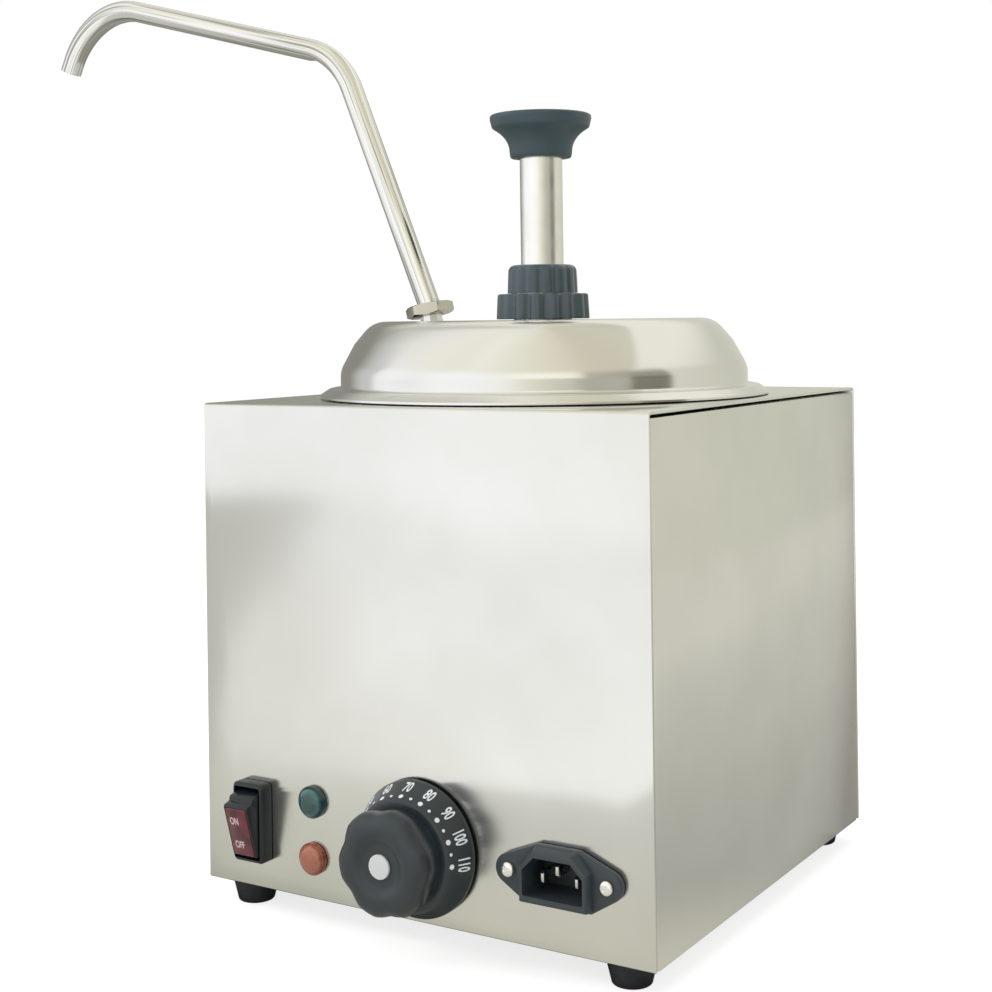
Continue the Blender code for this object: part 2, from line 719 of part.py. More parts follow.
rocker_reach = sqrt(rocker_shoulder_half ** 2 + rocker_shoulder_rise ** 2)
cavity_half_height = rocker_reach + rocker_end_clearance
cavity_half_width = rocker_width / 2 + rocker_side_clearance


def oblong(half_x, half_y, radius=0):
    corners = [(-half_x, -half_y, radius), (half_x, -half_y, radius), (half_x, half_y, radius),
               (-half_x, half_y, radius)]
    return rounded(corners, 2)


def prism_rings(outlines):
    return [[(x, y, height) for x, y in outline] for outline, height in outlines]


switch_housing = lofted("switch_housing", prism_rings([
    (oblong(collar_width / 2, collar_height / 2), seat_gap),
    (oblong(collar_width / 2, collar_height / 2), collar_proud - collar_chamfer),
    (oblong(collar_width / 2 - collar_chamfer, collar_height / 2 - collar_chamfer), collar_proud)]),
    black_plastic)
on_front(switch_housing, switch_x, switch_z)
rear_half_x = cavity_half_width + switch_wall - body_inset
rear_half_y = cavity_half_height + switch_wall - body_inset
switch_rear = slab("switch_rear", oblong(rear_half_x, rear_half_y), -switch_depth, seat_gap + collar_chamfer,
                   black_plastic)
on_front(switch_rear, switch_x, switch_z)
carve(switch_housing, switch_rear, "UNION")
cavity = slab("switch_cavity", oblong(cavity_half_width, cavity_half_height), -switch_floor,
              collar_proud + cut_overrun, black_plastic)
on_front(cavity, switch_x, switch_z)
carve(switch_housing, cavity)
front_hole("switch_hole", oblong(rear_half_x + panel_clearance, rear_half_y + panel_clearance),
           switch_x, switch_z)

rocker_outline = rounded([
    (-rocker_shoulder_half, -rocker_tail / 2, 0),
    (-rocker_face_half / 2, -rocker_tail, 0),
    (rocker_face_half / 2, -rocker_tail, 0),
    (rocker_shoulder_half, -rocker_tail / 2, 0),
    (rocker_shoulder_half, rocker_shoulder_rise, rocker_edge_radius),
    (rocker_face_half, rocker_shoulder_rise + rocker_edge_radius, rocker_edge_radius / 2),
    (rocker_face_half, rocker_face_rise, rocker_edge_radius),
    (-rocker_face_half, rocker_face_rise, rocker_edge_radius),
    (-rocker_face_half, rocker_shoulder_rise + rocker_edge_radius, rocker_edge_radius / 2),
    (-rocker_shoulder_half, rocker_shoulder_rise, rocker_edge_radius)], 2)
rocker = slab("rocker", rocker_outline, -rocker_width / 2, rocker_width / 2, black_plastic)
rocker.data.transform(Matrix(((0, 0, 1, 0), (1, 0, 0, 0), (0, 1, 0, 0), (0, 0, 0, 1))))
on_front(rocker, switch_x, switch_z, pivot_proud, rocker_tilt)
lens_half_x = rocker_width / 2 - lens_margin
lens_half_y = rocker_face_half - lens_margin
pocket = slab("rocker_pocket", oblong(lens_half_x + seat_gap, lens_half_y + seat_gap),
              rocker_face_rise - lens_depth - seat_gap, rocker_face_rise + cut_overrun, black_plastic)
on_front(pocket, switch_x, switch_z, pivot_proud, rocker_tilt)
carve(rocker, pocket)
rocker_lens = lofted("rocker_lens", prism_rings([
    (oblong(lens_half_x, lens_half_y), rocker_face_rise - lens_depth),
    (oblong(lens_half_x, lens_half_y), rocker_face_rise),
    (oblong(lens_half_x - lens_proud, lens_half_y - lens_proud), rocker_face_rise + lens_proud)]), red_lens)
on_front(rocker_lens, switch_x, switch_z, pivot_proud, rocker_tilt)


# Mains inlet: an eared plate with a tapered collar, three pins, two screws and their nuts
inlet_z = 0.0278
plate_thickness = 0.0034
collar_half_x = 0.0148
collar_half_z = 0.0106
collar_bevel = 0.0060
collar_foot_radius = 0.0018
collar_taper = 0.0014
inlet_proud = 0.0072
inlet_end_wall = 0.0012
inlet_side_wall = 0.0022
recess_bevel = 0.0048
recess_depth = 0.0162
inlet_rear_inset = 0.0012
inlet_rear_depth = 0.0200
pin_width = 0.0020
pin_height = 0.0040
pin_spacing = 0.0070
pin_drop = 0.0014
earth_rise = 0.0024
pin_below_rim = 0.0052
earth_extra = 0.0015
pin_tail = 0.0060
inlet_screw_radius = 0.0017
inlet_screw_clearance = 0.0003
inlet_head_radius = 0.0027
inlet_head_height = 0.0015
inlet_screw_length = 0.0110
inlet_nut_radius = 0.0036
inlet_nut_height = 0.0024
recess_half_x = collar_half_x - collar_taper - inlet_end_wall
recess_half_z = collar_half_z - collar_taper - inlet_side_wall


def mouth(half_x, half_z, bevel, foot):
    """An oblong with cut upper corners and rounded lower ones."""
    return rounded([(-half_x, -half_z, foot), (half_x, -half_z, foot), (half_x, half_z - bevel, 0),
                    (half_x - bevel, half_z, 0), (-half_x + bevel, half_z, 0),
                    (-half_x, half_z - bevel, 0)], 2)


def eared_plate():
    """The tightest outline round both screw ears and the collar."""
    points = list(mouth(collar_half_x, collar_half_z, collar_bevel, collar_foot_radius))
    for sign in (-1, 1):
        points += circle(ear_radius, sign * inlet_screw_spacing / 2, steps=small_steps)
    points = sorted(set((x, y) for x, y in points))

    def chain(ordered):
        hull = []
        for point in ordered:
            while len(hull) > 1:
                ax, ay = hull[-2]
                bx, by = hull[-1]
                if (bx - ax) * (point[1] - ay) - (by - ay) * (point[0] - ax) > weld_distance ** 2:
                    break
                hull.pop()
            hull.append(point)
        return hull[:-1]

    return chain(points) + chain(list(reversed(points)))


inlet = slab("inlet_body", eared_plate(), seat_gap, plate_thickness, black_plastic)
on_front(inlet, inlet_x, inlet_z)
inlet_collar = lofted("inlet_collar", prism_rings([
    (mouth(collar_half_x, collar_half_z, collar_bevel, collar_foot_radius), seat_gap + plate_thickness / 2),
    (mouth(collar_half_x - collar_taper, collar_half_z - collar_taper, collar_bevel, collar_foot_radius),
     inlet_proud)]), black_plastic)
inlet_rear = slab("inlet_rear", mouth(collar_half_x - inlet_rear_inset, collar_half_z - inlet_rear_inset,
                                      collar_bevel, 0),
                  -inlet_rear_depth, seat_gap + plate_thickness / 2, black_plastic)
for cutter in (inlet_collar, inlet_rear):
    on_front(cutter, inlet_x, inlet_z)
    carve(inlet, cutter, "UNION")
recess = slab("inlet_recess", mouth(recess_half_x, recess_half_z, recess_bevel, 0),
              inlet_proud - recess_depth, inlet_proud + cut_overrun, black_plastic)
on_front(recess, inlet_x, inlet_z)
carve(inlet, recess)
front_hole("inlet_hole", mouth(collar_half_x - inlet_rear_inset + panel_clearance,
                               collar_half_z - inlet_rear_inset + panel_clearance, collar_bevel, 0),
           inlet_x, inlet_z)
for name, x, z, extra in (("live", pin_spacing, -pin_drop, 0), ("earth", 0, earth_rise, earth_extra),
                          ("neutral", -pin_spacing, -pin_drop, 0)):
    outline = [(x + sx * pin_width / 2, z + sz * pin_height / 2)
               for sx, sz in ((-1, -1), (1, -1), (1, 1), (-1, 1))]
    slot = [(x + sx * (pin_width / 2 + seat_gap), z + sz * (pin_height / 2 + seat_gap))
            for sx, sz in ((-1, -1), (1, -1), (1, 1), (-1, 1))]
    pin = slab("inlet_pin_" + name, outline, -inlet_rear_depth - pin_tail,
               inlet_proud - pin_below_rim + extra, plated_steel, smooth=False)
    pin_slot = slab("inlet_slot_" + name, slot, -inlet_rear_depth - cut_overrun,
                    inlet_proud - recess_depth + cut_overrun, black_plastic)
    on_front(pin, inlet_x, inlet_z)
    on_front(pin_slot, inlet_x, inlet_z)
    carve(inlet, pin_slot)
for side, sign in (("left", -1), ("right", 1)):
    x = inlet_x + sign * inlet_screw_spacing / 2
    hole = circle(inlet_screw_radius + inlet_screw_clearance)
    ear_hole = slab("ear_hole_" + side, hole, -cut_overrun, plate_thickness + cut_overrun, black_plastic)
    on_front(ear_hole, x, inlet_z)
    carve(inlet, ear_hole)
    front_hole("ear_panel_hole_" + side, hole, x, inlet_z)
    head_under = plate_thickness + seat_gap
    tip = head_under - inlet_screw_length
    screw = turned("inlet_screw_" + side, rounded([
        (0, tip, 0), (inlet_screw_radius, tip, 0), (inlet_screw_radius, head_under, 0),
        (inlet_head_radius, head_under, 0),
        (inlet_head_radius, head_under + inlet_head_height, inlet_head_height / 2),
        (0, head_under + inlet_head_height, 0)], 2), plated_steel, tiny_steps)
    on_front(screw, x, inlet_z)
    nut_front = -housing_sheet - seat_gap
    nut = slab("inlet_nut_" + side, hexagon(inlet_nut_radius), nut_front - inlet_nut_height, nut_front,
               plated_steel, smooth=False)
    nut_bore = slab("inlet_nut_bore_" + side, hole, nut_front - inlet_nut_height - cut_overrun,
                    nut_front + cut_overrun, plated_steel)
    on_front(nut, x, inlet_z)
    on_front(nut_bore, x, inlet_z)
    carve(nut, nut_bore)


# Sauce pot: a straight steel pot whose flat rim lies on the housing's top
pot_wall = 0.0008
pot_water_gap = 0.0057
pot_rim_width = 0.0125
pot_corner_radius = 0.0120
pot_neck_radius = 0.0030
pot_radius = well_radius - pot_water_gap
pot_rim_radius = pot_radius + pot_rim_width
pot_rim_under = housing_height + seat_gap
pot_rim_top = pot_rim_under + pot_wall
pot_bottom = pot_rim_under - pot_depth
pot_floor = pot_bottom + pot_wall

sauce_pot = turned("sauce_pot", rounded([
    (0, pot_bottom, 0),
    (pot_radius, pot_bottom, pot_corner_radius),
    (pot_radius, pot_rim_under, pot_neck_radius),
    (pot_rim_radius, pot_rim_under, 0),
    (pot_rim_radius, pot_rim_top, 0),
    (pot_radius - pot_wall, pot_rim_top, pot_neck_radius + pot_wall),
    (pot_radius - pot_wall, pot_floor, pot_corner_radius - pot_wall),
    (0, pot_floor, 0)]), polished_steel, pot_steps)


# Lid seal: a thin dark silicone ring between the pot's rim and the lid
seal_thickness = 0.0016
seal_width = 0.0048
seal_inset = 0.0022
seal_radius = pot_rim_radius - seal_inset
seal_bottom = pot_rim_top + seat_gap
seal_top = seal_bottom + seal_thickness
lid_seal = turned("lid_seal", [
    (seal_radius - seal_width, seal_bottom), (seal_radius, seal_bottom),
    (seal_radius, seal_top), (seal_radius - seal_width, seal_top)], dark_silicone, pot_steps)


# Lid: a pressed steel dome with a flat top, a steep shoulder and a flange with a turned-down lip
lid_wall = 0.0008
lip_clearance = 0.0010
lip_height = 0.0014
flange_edge_width = 0.0040
flange_slope = 0.0003
lip_overhang = 0.0030
flange_width = 0.0090
dome_straight = 0.0074
shoulder_inset = 0.0050
shoulder_height = 0.0110
crown_inset = 0.0125
dome_knee_bend = 0.0110
crown_bend = 0.0115
cylinder_radius = 0.0125
cylinder_hole_clearance = 0.0003
lid_radius = pot_rim_radius + lip_overhang
dome_radius = lid_radius - flange_width
crown_radius = dome_radius - crown_inset
lid_flange_top = seal_top + seat_gap + lid_wall
lid_lip_bottom = housing_height + lip_clearance
dome_foot = lid_flange_top + flange_slope
lid_top = lid_flange_top + lid_rise
lid_hole_radius = cylinder_radius + cylinder_hole_clearance
lid_corners = [
    (lid_hole_radius, lid_top, 0),
    (crown_radius, lid_top, crown_bend),
    (dome_radius - shoulder_inset, dome_foot + dome_straight + shoulder_height, 0),
    (dome_radius, dome_foot + dome_straight, dome_knee_bend),
    (dome_radius, dome_foot, 0),
    (lid_radius - flange_edge_width, lid_flange_top, 0),
    (lid_radius, lid_lip_bottom + lip_height, 0),
    (lid_radius, lid_lip_bottom, 0),
    (lid_hole_radius, lid_lip_bottom, 0)]

lid_face = list(reversed(rounded(lid_corners)[:-1]))
lid = turned("lid", walled(lid_face, lid_wall), polished_steel, large_steps)
lid_under = lid_top - lid_wall


# Pump: a cylinder through the lid, a lobed lock nut, a ribbed cap and the valve body at its foot
cylinder_wall = 0.0012
cylinder_flange_radius = 0.0180
cylinder_flange = 0.0020
lock_nut_radius = 0.0200
lock_nut_height = 0.0107
lock_nut_lobes = 16
lock_nut_lobe_depth = 0.0011
lock_nut_edge = 0.0007
pump_cap_radius = 0.0150
pump_cap_top_radius = 0.0146
pump_cap_height = 0.0130
pump_cap_edge = 0.0020
pump_cap_roof = 0.0030
pump_cap_ribs = 12
pump_cap_rib_depth = 0.00025
steps_per_lobe = 4
steps_per_rib = 4
pump_floor_clearance = 0.0040
valve_radius = 0.0155
valve_height = 0.0190
intake_radius = 0.0045
chamber_radius = 0.0080
ball_radius = 0.0055
boss_radius = 0.0066
boss_reach = 0.0032
seat_height_share = 0.22

lock_nut_bottom = lid_top + seat_gap
lock_nut_top = lock_nut_bottom + lock_nut_height
cap_bottom = lock_nut_top + seat_gap
cap_top = cap_bottom + pump_cap_height
valve_bottom = pot_floor + pump_floor_clearance
valve_top = valve_bottom + valve_height
valve_middle = valve_bottom + valve_height / 2
cylinder_bottom = valve_top + seat_gap
cylinder_top = cap_top - pump_cap_roof - seat_gap
cylinder_inner = cylinder_radius - cylinder_wall
flange_top = lid_under - seat_gap

turned("pump_cylinder", [
    (cylinder_inner, cylinder_bottom), (cylinder_radius, cylinder_bottom),
    (cylinder_radius, flange_top - cylinder_flange), (cylinder_flange_radius, flange_top - cylinder_flange),
    (cylinder_flange_radius, flange_top), (cylinder_radius, flange_top), (cylinder_radius, cylinder_top),
    (cylinder_inner, cylinder_top)], brushed_steel, small_steps)

lock_nut = lofted("pump_lock_nut", [
    lobed_ring(lock_nut_radius, height, lock_nut_lobes, depth, steps_per_lobe)
    for height, depth in ((lock_nut_bottom, lock_nut_lobe_depth),
                          (lock_nut_top - lock_nut_edge, lock_nut_lobe_depth))
] + [lobed_ring(lock_nut_radius - lock_nut_edge, lock_nut_top, lock_nut_lobes, lock_nut_lobe_depth,
                steps_per_lobe)], slate_plastic)
carve(lock_nut, slab("lock_nut_bore", circle(lid_hole_radius, steps=medium_steps),
                     lock_nut_bottom - cut_overrun, lock_nut_top + cut_overrun, slate_plastic))

pump_cap = lofted("pump_cap", [
    lobed_ring(pump_cap_radius, cap_bottom, pump_cap_ribs, pump_cap_rib_depth, steps_per_rib),
    lobed_ring((pump_cap_radius + pump_cap_top_radius) / 2, cap_top - pump_cap_edge, pump_cap_ribs,
               pump_cap_rib_depth, steps_per_rib),
    lobed_ring(pump_cap_top_radius - pump_cap_edge / 4, cap_top - pump_cap_edge / 4, pump_cap_ribs,
               pump_cap_rib_depth, steps_per_rib),
    lobed_ring(pump_cap_top_radius - pump_cap_edge, cap_top, pump_cap_ribs, 0, steps_per_rib)], slate_plastic)
carve(pump_cap, slab("pump_cap_hollow", circle(lid_hole_radius, steps=medium_steps), cap_bottom - cut_overrun,
                     cylinder_top + seat_gap, slate_plastic))
carve(pump_cap, slab("pump_cap_bore", circle(plunger_radius + seat_gap, steps=medium_steps),
                     cap_bottom - cut_overrun, cap_top + cut_overrun, slate_plastic))

seat_height = valve_bottom + valve_height * seat_height_share
valve_body = turned("valve_body", [
    (intake_radius, valve_bottom), (valve_radius, valve_bottom), (valve_radius, valve_top),
    (chamber_radius, valve_top), (chamber_radius, seat_height), (intake_radius, seat_height)],
    brushed_steel, small_steps)


def sideways(name, outline, near, far, material):
    """A slab that runs along -X from near to far, at the valve's middle height."""
    piece = slab(name, outline, near, far, material)
    piece.rotation_euler = (0, -pi / 2, 0)
    piece.location = (0, 0, valve_middle)
    return piece


boss_end = valve_radius + boss_reach
carve(valve_body, sideways("valve_boss", circle(boss_radius, steps=small_steps), valve_radius - boss_reach,
                           boss_end, brushed_steel), "UNION")
carve(valve_body, sideways("valve_outlet", circle(tube_bore_radius, steps=small_steps), chamber_radius / 2,
                           boss_end + cut_overrun, brushed_steel))
ball_height = seat_height + seat_gap + sqrt(ball_radius ** 2 - intake_radius ** 2)
ball_bm = bmesh.new()
bmesh.ops.create_uvsphere(ball_bm, u_segments=10, v_segments=6, radius=ball_radius)
bmesh.ops.translate(ball_bm, vec=(0, 0, ball_height), verts=ball_bm.verts[:])
made("intake_ball", ball_bm, plated_steel)

# The pin across the chamber that stops the ball
ball_travel = 0.0030
ball_pin_radius = 0.0009
ball_pin_grip = 0.0040
ball_pin_height = ball_height + ball_radius + ball_travel + seat_gap + ball_pin_radius
ball_pin_half = chamber_radius + ball_pin_grip


def crosswise(piece):
    """Lay a piece made round Z along Y at the pin's height."""
    piece.location = (0, 0, ball_pin_height)
    piece.rotation_euler = (pi / 2, 0, 0)
    return piece


crosswise(slab("ball_stop_pin", circle(ball_pin_radius), -ball_pin_half, ball_pin_half, plated_steel))
carve(valve_body, crosswise(slab("ball_pin_hole", circle(ball_pin_radius + seat_gap),
                                 -ball_pin_half - seat_gap, ball_pin_half + seat_gap, plated_steel)))


# Spout: a tube from the valve up through the lid, a hexagon nut on it, and the bent tube above
spout_inset = 0.0161
spout_nut_radius = 0.01085
spout_nut_turn = radians(23)
spout_nut_height = 0.0048
elbow_run = 0.0102
spout_rise = radians(15.1)
tip_lean = radians(25.1)
knee_reach = 0.1065
knee_height = 0.1224
upper_run = 0.1640
tip_run = 0.0382
knee_radius = 0.0360
crook_radius = 0.0400
union_bend_radius = 0.0100
union_stub = 0.0030
elbow_radius = 0.0100
tube_clearance = 0.0004

spout_reach = crown_radius - spout_inset
elbow_reach = boss_end + elbow_run
union_lean = atan2(spout_reach - elbow_reach, lid_top - valve_middle)
union_axis = Vector((-sin(union_lean), cos(union_lean)))
nut_lift = seat_gap + spout_nut_height / 2 * cos(union_lean) + spout_nut_radius * sin(union_lean)
nut_centre = Vector((-spout_reach, lid_top)) + union_axis * nut_lift / cos(union_lean)


def flat_path(corners, steps):
    """Open (x, z, radius) corners to (x, 0, z) points, with an arc at each radius."""
    closed = corners + [(corners[0][0], corners[-1][1] - 1, 0)]
    return [(x, 0, z) for x, z in rounded(closed, steps)[:-1]]


tube_end = nut_centre - union_axis * seat_gap / 2
discharge_path = flat_path([(-boss_end - seat_gap, valve_middle, 0),
                            (-elbow_reach, valve_middle, elbow_radius), (tube_end.x, tube_end.y, 0)], 4)
swept("discharge_tube", discharge_path, [tube_radius] * len(discharge_path), polished_steel,
      tube_bore_radius)

spout_start = nut_centre + union_axis * seat_gap / 2
stub_end = spout_start + union_axis * union_stub
knee = Vector((-knee_reach, lid_top + knee_height))
crook = knee + Vector((-cos(spout_rise), sin(spout_rise))) * upper_run
tip = crook + Vector((-sin(tip_lean), -cos(tip_lean))) * tip_run
spout_path = flat_path([(*spout_start, 0), (*stub_end, union_bend_radius), (*knee, knee_radius),
                        (*crook, crook_radius), (*tip, 0)], 6)
swept("spout_tube", spout_path, [tube_radius] * len(spout_path), polished_steel, tube_bore_radius)


def along_union(piece):
    """Stand a piece made round Z on the axis of the tube through the lid."""
    piece.location = (nut_centre.x, 0, nut_centre.y)
    piece.rotation_euler = (0, -union_lean, 0)
    return piece


spout_nut = along_union(slab("spout_nut", hexagon(spout_nut_radius, spout_nut_turn),
                             -spout_nut_height / 2, spout_nut_height / 2, plated_steel, smooth=False))
tube_hole = circle(tube_radius + tube_clearance, steps=tube_sides * 2)
carve(spout_nut, along_union(slab("spout_nut_bore", tube_hole, -spout_nut_height, spout_nut_height,
                                  plated_steel)))
carve(lid, along_union(slab("lid_tube_hole", tube_hole, -spout_nut_height - lid_rise, 0,
                            polished_steel)))


# Plunger: a steel tube with a push knob, and a piston with a cup seal on its lower end
knob_socket_depth = 0.0090
push_knob_height = 0.0186
push_knob_radius = 0.0217
push_knob_foot_radius = 0.0133
push_knob_rim = 0.0018
push_knob_crown = 0.0004
plunger_wall = 0.0012
piston_height = 0.0070
piston_clearance = 0.0004
piston_stem = 0.0100
seal_groove_height = 0.0028
seal_groove_depth = 0.0022
cup_seal_gap = 0.0002
spring_room = 0.0120

knob_under = cap_top + plunger_showing
piston_bottom = valve_top + stroke + spring_room
piston_top = piston_bottom + piston_height
piston_radius = cylinder_inner - piston_clearance
plunger_inner = plunger_radius - plunger_wall
plunger_foot = piston_top + seat_gap
plunger_head = knob_under + knob_socket_depth - seat_gap
groove_low = piston_bottom + (piston_height - seal_groove_height) / 2
groove_high = groove_low + seal_groove_height

turned("plunger_tube", [
    (plunger_inner, plunger_foot), (plunger_radius, plunger_foot), (plunger_radius, plunger_head),
    (plunger_inner, plunger_head)], polished_steel, medium_steps)

knob_top_z = knob_under + push_knob_height
socket_radius = plunger_radius + seat_gap
push_knob_shares = ((0.09, 0.00), (0.24, 0.03), (0.33, 0.09), (0.42, 0.20), (0.51, 0.35), (0.60, 0.57),
                    (0.65, 0.74), (0.694, 0.88), (0.742, 0.92), (0.83, 0.97))
push_knob_outline = [(socket_radius, knob_under), (push_knob_foot_radius - push_knob_crown, knob_under)]
for height_share, flare_share in push_knob_shares:
    push_knob_outline.append((
        push_knob_foot_radius + (push_knob_radius - push_knob_foot_radius) * flare_share,
        knob_under + push_knob_height * height_share))
push_knob_outline += [
    (push_knob_radius, knob_top_z - push_knob_crown - push_knob_rim),
    (push_knob_radius, knob_top_z - push_knob_crown - push_knob_rim / 4),
    (push_knob_radius - push_knob_crown, knob_top_z - push_knob_crown),
    (push_knob_radius / 2, knob_top_z - push_knob_crown / 4), (0, knob_top_z),
    (0, knob_under + knob_socket_depth), (socket_radius, knob_under + knob_socket_depth)]
turned("push_knob", push_knob_outline, slate_plastic, knob_steps)

turned("piston", [
    (0, piston_bottom), (piston_radius, piston_bottom), (piston_radius, groove_low),
    (piston_radius - seal_groove_depth, groove_low), (piston_radius - seal_groove_depth, groove_high),
    (piston_radius, groove_high), (piston_radius, piston_top), (plunger_inner - seat_gap, piston_top),
    (plunger_inner - seat_gap, piston_top + piston_stem), (0, piston_top + piston_stem)],
    white_plastic, small_steps)
turned("piston_seal", [
    (piston_radius - seal_groove_depth + seat_gap, groove_low + seat_gap),
    (cylinder_inner - cup_seal_gap, groove_low + seat_gap),
    (cylinder_inner - cup_seal_gap, groove_high - seat_gap),
    (piston_radius - seal_groove_depth + seat_gap, groove_high - seat_gap)], dark_silicone, small_steps)

# Return spring: a compression coil between the valve body and the piston
spring_wire_radius = 0.0007
spring_turns = 6
spring_steps_per_turn = 8
spring_radius = cylinder_inner - spring_wire_radius - 2 * seat_gap - seal_groove_depth / 4
spring_low = valve_top + seat_gap + spring_wire_radius
spring_high = piston_bottom - seat_gap - spring_wire_radius
spring_path = []
for step in range(spring_turns * spring_steps_per_turn + 1):
    share = step / (spring_turns * spring_steps_per_turn)
    angle = 2 * pi * step / spring_steps_per_turn
    spring_path.append((spring_radius * cos(angle), spring_radius * sin(angle),
                        spring_low + (spring_high - spring_low) * share))
swept("return_spring", spring_path, [spring_wire_radius] * len(spring_path), plated_steel, sides=4)
spring_pitch = (spring_high - spring_low) / spring_turns
print("least gap between the spring's turns, in metres:", spring_pitch - 2 * spring_wire_radius)
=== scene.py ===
"""The looks of the hot fudge topping warmer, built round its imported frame.

Metres, +Z up, +X to the right along the front, +Y to the back, as in the frame.
The sections follow the warmer as it is put together, from the housing to the dial.
"""

from math import atan2, cos, hypot, pi, radians, sin, tan

import bmesh
import bpy
from mathutils import Matrix, Vector


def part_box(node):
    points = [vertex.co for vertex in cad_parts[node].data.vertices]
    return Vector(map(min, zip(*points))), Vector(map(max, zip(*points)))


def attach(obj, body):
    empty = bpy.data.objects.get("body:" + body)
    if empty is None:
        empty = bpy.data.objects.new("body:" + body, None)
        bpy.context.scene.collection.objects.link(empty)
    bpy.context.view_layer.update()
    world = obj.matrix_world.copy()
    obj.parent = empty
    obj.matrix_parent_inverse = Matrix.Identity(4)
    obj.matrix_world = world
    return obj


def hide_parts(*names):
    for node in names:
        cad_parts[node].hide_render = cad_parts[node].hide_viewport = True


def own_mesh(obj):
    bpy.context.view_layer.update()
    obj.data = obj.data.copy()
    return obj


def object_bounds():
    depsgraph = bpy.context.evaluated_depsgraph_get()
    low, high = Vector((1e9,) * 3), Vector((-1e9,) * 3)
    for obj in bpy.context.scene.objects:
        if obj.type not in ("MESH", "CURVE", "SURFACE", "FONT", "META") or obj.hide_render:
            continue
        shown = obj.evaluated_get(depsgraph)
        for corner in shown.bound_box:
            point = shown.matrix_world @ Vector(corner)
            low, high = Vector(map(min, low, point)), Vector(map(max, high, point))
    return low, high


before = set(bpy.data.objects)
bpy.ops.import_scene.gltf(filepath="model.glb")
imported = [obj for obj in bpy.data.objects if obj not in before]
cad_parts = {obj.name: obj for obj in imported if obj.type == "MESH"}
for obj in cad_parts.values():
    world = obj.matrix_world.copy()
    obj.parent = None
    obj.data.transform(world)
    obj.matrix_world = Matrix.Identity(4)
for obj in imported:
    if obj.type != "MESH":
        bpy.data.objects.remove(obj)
cad_low, cad_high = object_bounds()
mm = 0.001


# Camera
# The photograph looks level from the right of the front with a 60 mm lens, and the picture is
# cropped below the lens axis, so the shift carries the crop.
camera_place = Vector((0.35558, -0.60281, 0.22508))
camera_yaw = radians(-31.6749)
camera_pitch = radians(-0.1117)
camera_roll = radians(-0.7509)

ahead = Vector((sin(camera_yaw) * cos(camera_pitch), cos(camera_yaw) * cos(camera_pitch), sin(camera_pitch)))
level_right = Vector((cos(camera_yaw), -sin(camera_yaw), 0))
level_up = level_right.cross(ahead)
right = cos(camera_roll) * level_right + sin(camera_roll) * level_up
above = cos(camera_roll) * level_up - sin(camera_roll) * level_right
lens = bpy.data.cameras.new("photo_lens")
lens.lens = 59.50
lens.sensor_width = 36.0
lens.shift_x = -0.01458
lens.shift_y = -0.17534
camera = bpy.data.objects.new("photo_camera", lens)
camera.matrix_world = Matrix.Translation(camera_place) @ Matrix((right, above, -ahead)).transposed().to_4x4()
bpy.context.scene.collection.objects.link(camera)
bpy.context.scene.camera = camera
bpy.context.scene.view_settings.view_transform = "Standard"


# Room: white floor, studio walls and three soft lamps
# A white sweep stands behind the warmer. What the steel mirrors is the rest of the studio: a
# white wall on the left, a dark doorway on the right, and the table's edge in front.
def linear(hex_colour):
    """An sRGB hex colour as linear red, green, blue and alpha."""
    channels = [int(hex_colour[i:i + 2], 16) / 255 for i in (1, 3, 5)]
    return (*[c / 12.92 if c <= 0.04045 else ((c + 0.055) / 1.055) ** 2.4 for c in channels], 1.0)


def add_node(tree, kind, settings=None, inputs=None):
    """Add a shader node, set its properties, and set or link its inputs."""
    fresh = tree.nodes.new("ShaderNode" + kind)
    for name, value in (settings or {}).items():
        setattr(fresh, name, value)
    for socket, value in (inputs or {}).items():
        if isinstance(value, bpy.types.NodeSocket):
            tree.links.new(value, fresh.inputs[socket])
        else:
            fresh.inputs[socket].default_value = value
    return fresh


def fill_ramp(ramp, stops):
    """Give a colour ramp its stops of (place, hex colour)."""
    elements = ramp.color_ramp.elements
    while len(elements) < len(stops):
        elements.new(1.0)
    for element, (place, hex_colour) in zip(elements, stops):
        element.position = place
        element.color = linear(hex_colour)


eased = {"interpolation_type": "SMOOTHSTEP"}
colours = {"data_type": "RGBA"}
low_stops = ((0.0, "#C3C3C3"), (0.022, "#C5C5C5"), (0.04, "#EFEFEF"), (0.07, "#F6F6F6"),
             (0.12, "#F2F2F2"), (0.147, "#F5F5F5"), (0.17, "#F9F9F9"), (0.22, "#F6F6F6"),
             (0.27, "#F3F2EB"), (0.315, "#DAD9C7"), (0.36, "#C3C2B1"), (0.4, "#ABA99A"),
             (0.45, "#B0AEA1"), (0.466, "#A9A79A"), (0.473, "#6A685C"), (0.535, "#747266"),
             (0.546, "#D5D3C6"), (0.624, "#CCCBBC"), (0.72, "#C2C3B5"), (0.838, "#C5C4B9"),
             (0.846, "#86857D"), (0.95, "#86857D"), (0.985, "#B8B8B2"), (1.0, "#C3C3C3"))
wall_stops = ((0.0, "#C3C3C3"), (0.022, "#C5C5C5"), (0.04, "#EFEFEF"), (0.07, "#F6F6F6"),
              (0.12, "#F2F2F2"), (0.147, "#F5F5F5"), (0.17, "#FBFBFB"), (0.22, "#FAFAFA"),
              (0.27, "#F4F4EE"), (0.31, "#FBF9ED"), (0.375, "#F6F6E7"), (0.39, "#EBE9DB"),
              (0.402, "#B3AEA0"), (0.466, "#A8A496"), (0.473, "#9A9788"), (0.535, "#949085"),
              (0.546, "#D5D3C6"), (0.624, "#CCCBBC"), (0.72, "#C2C3B5"), (0.838, "#C7C7BC"),
              (0.846, "#86857D"), (0.95, "#86857D"), (0.985, "#B8B8B2"), (1.0, "#C3C3C3"))
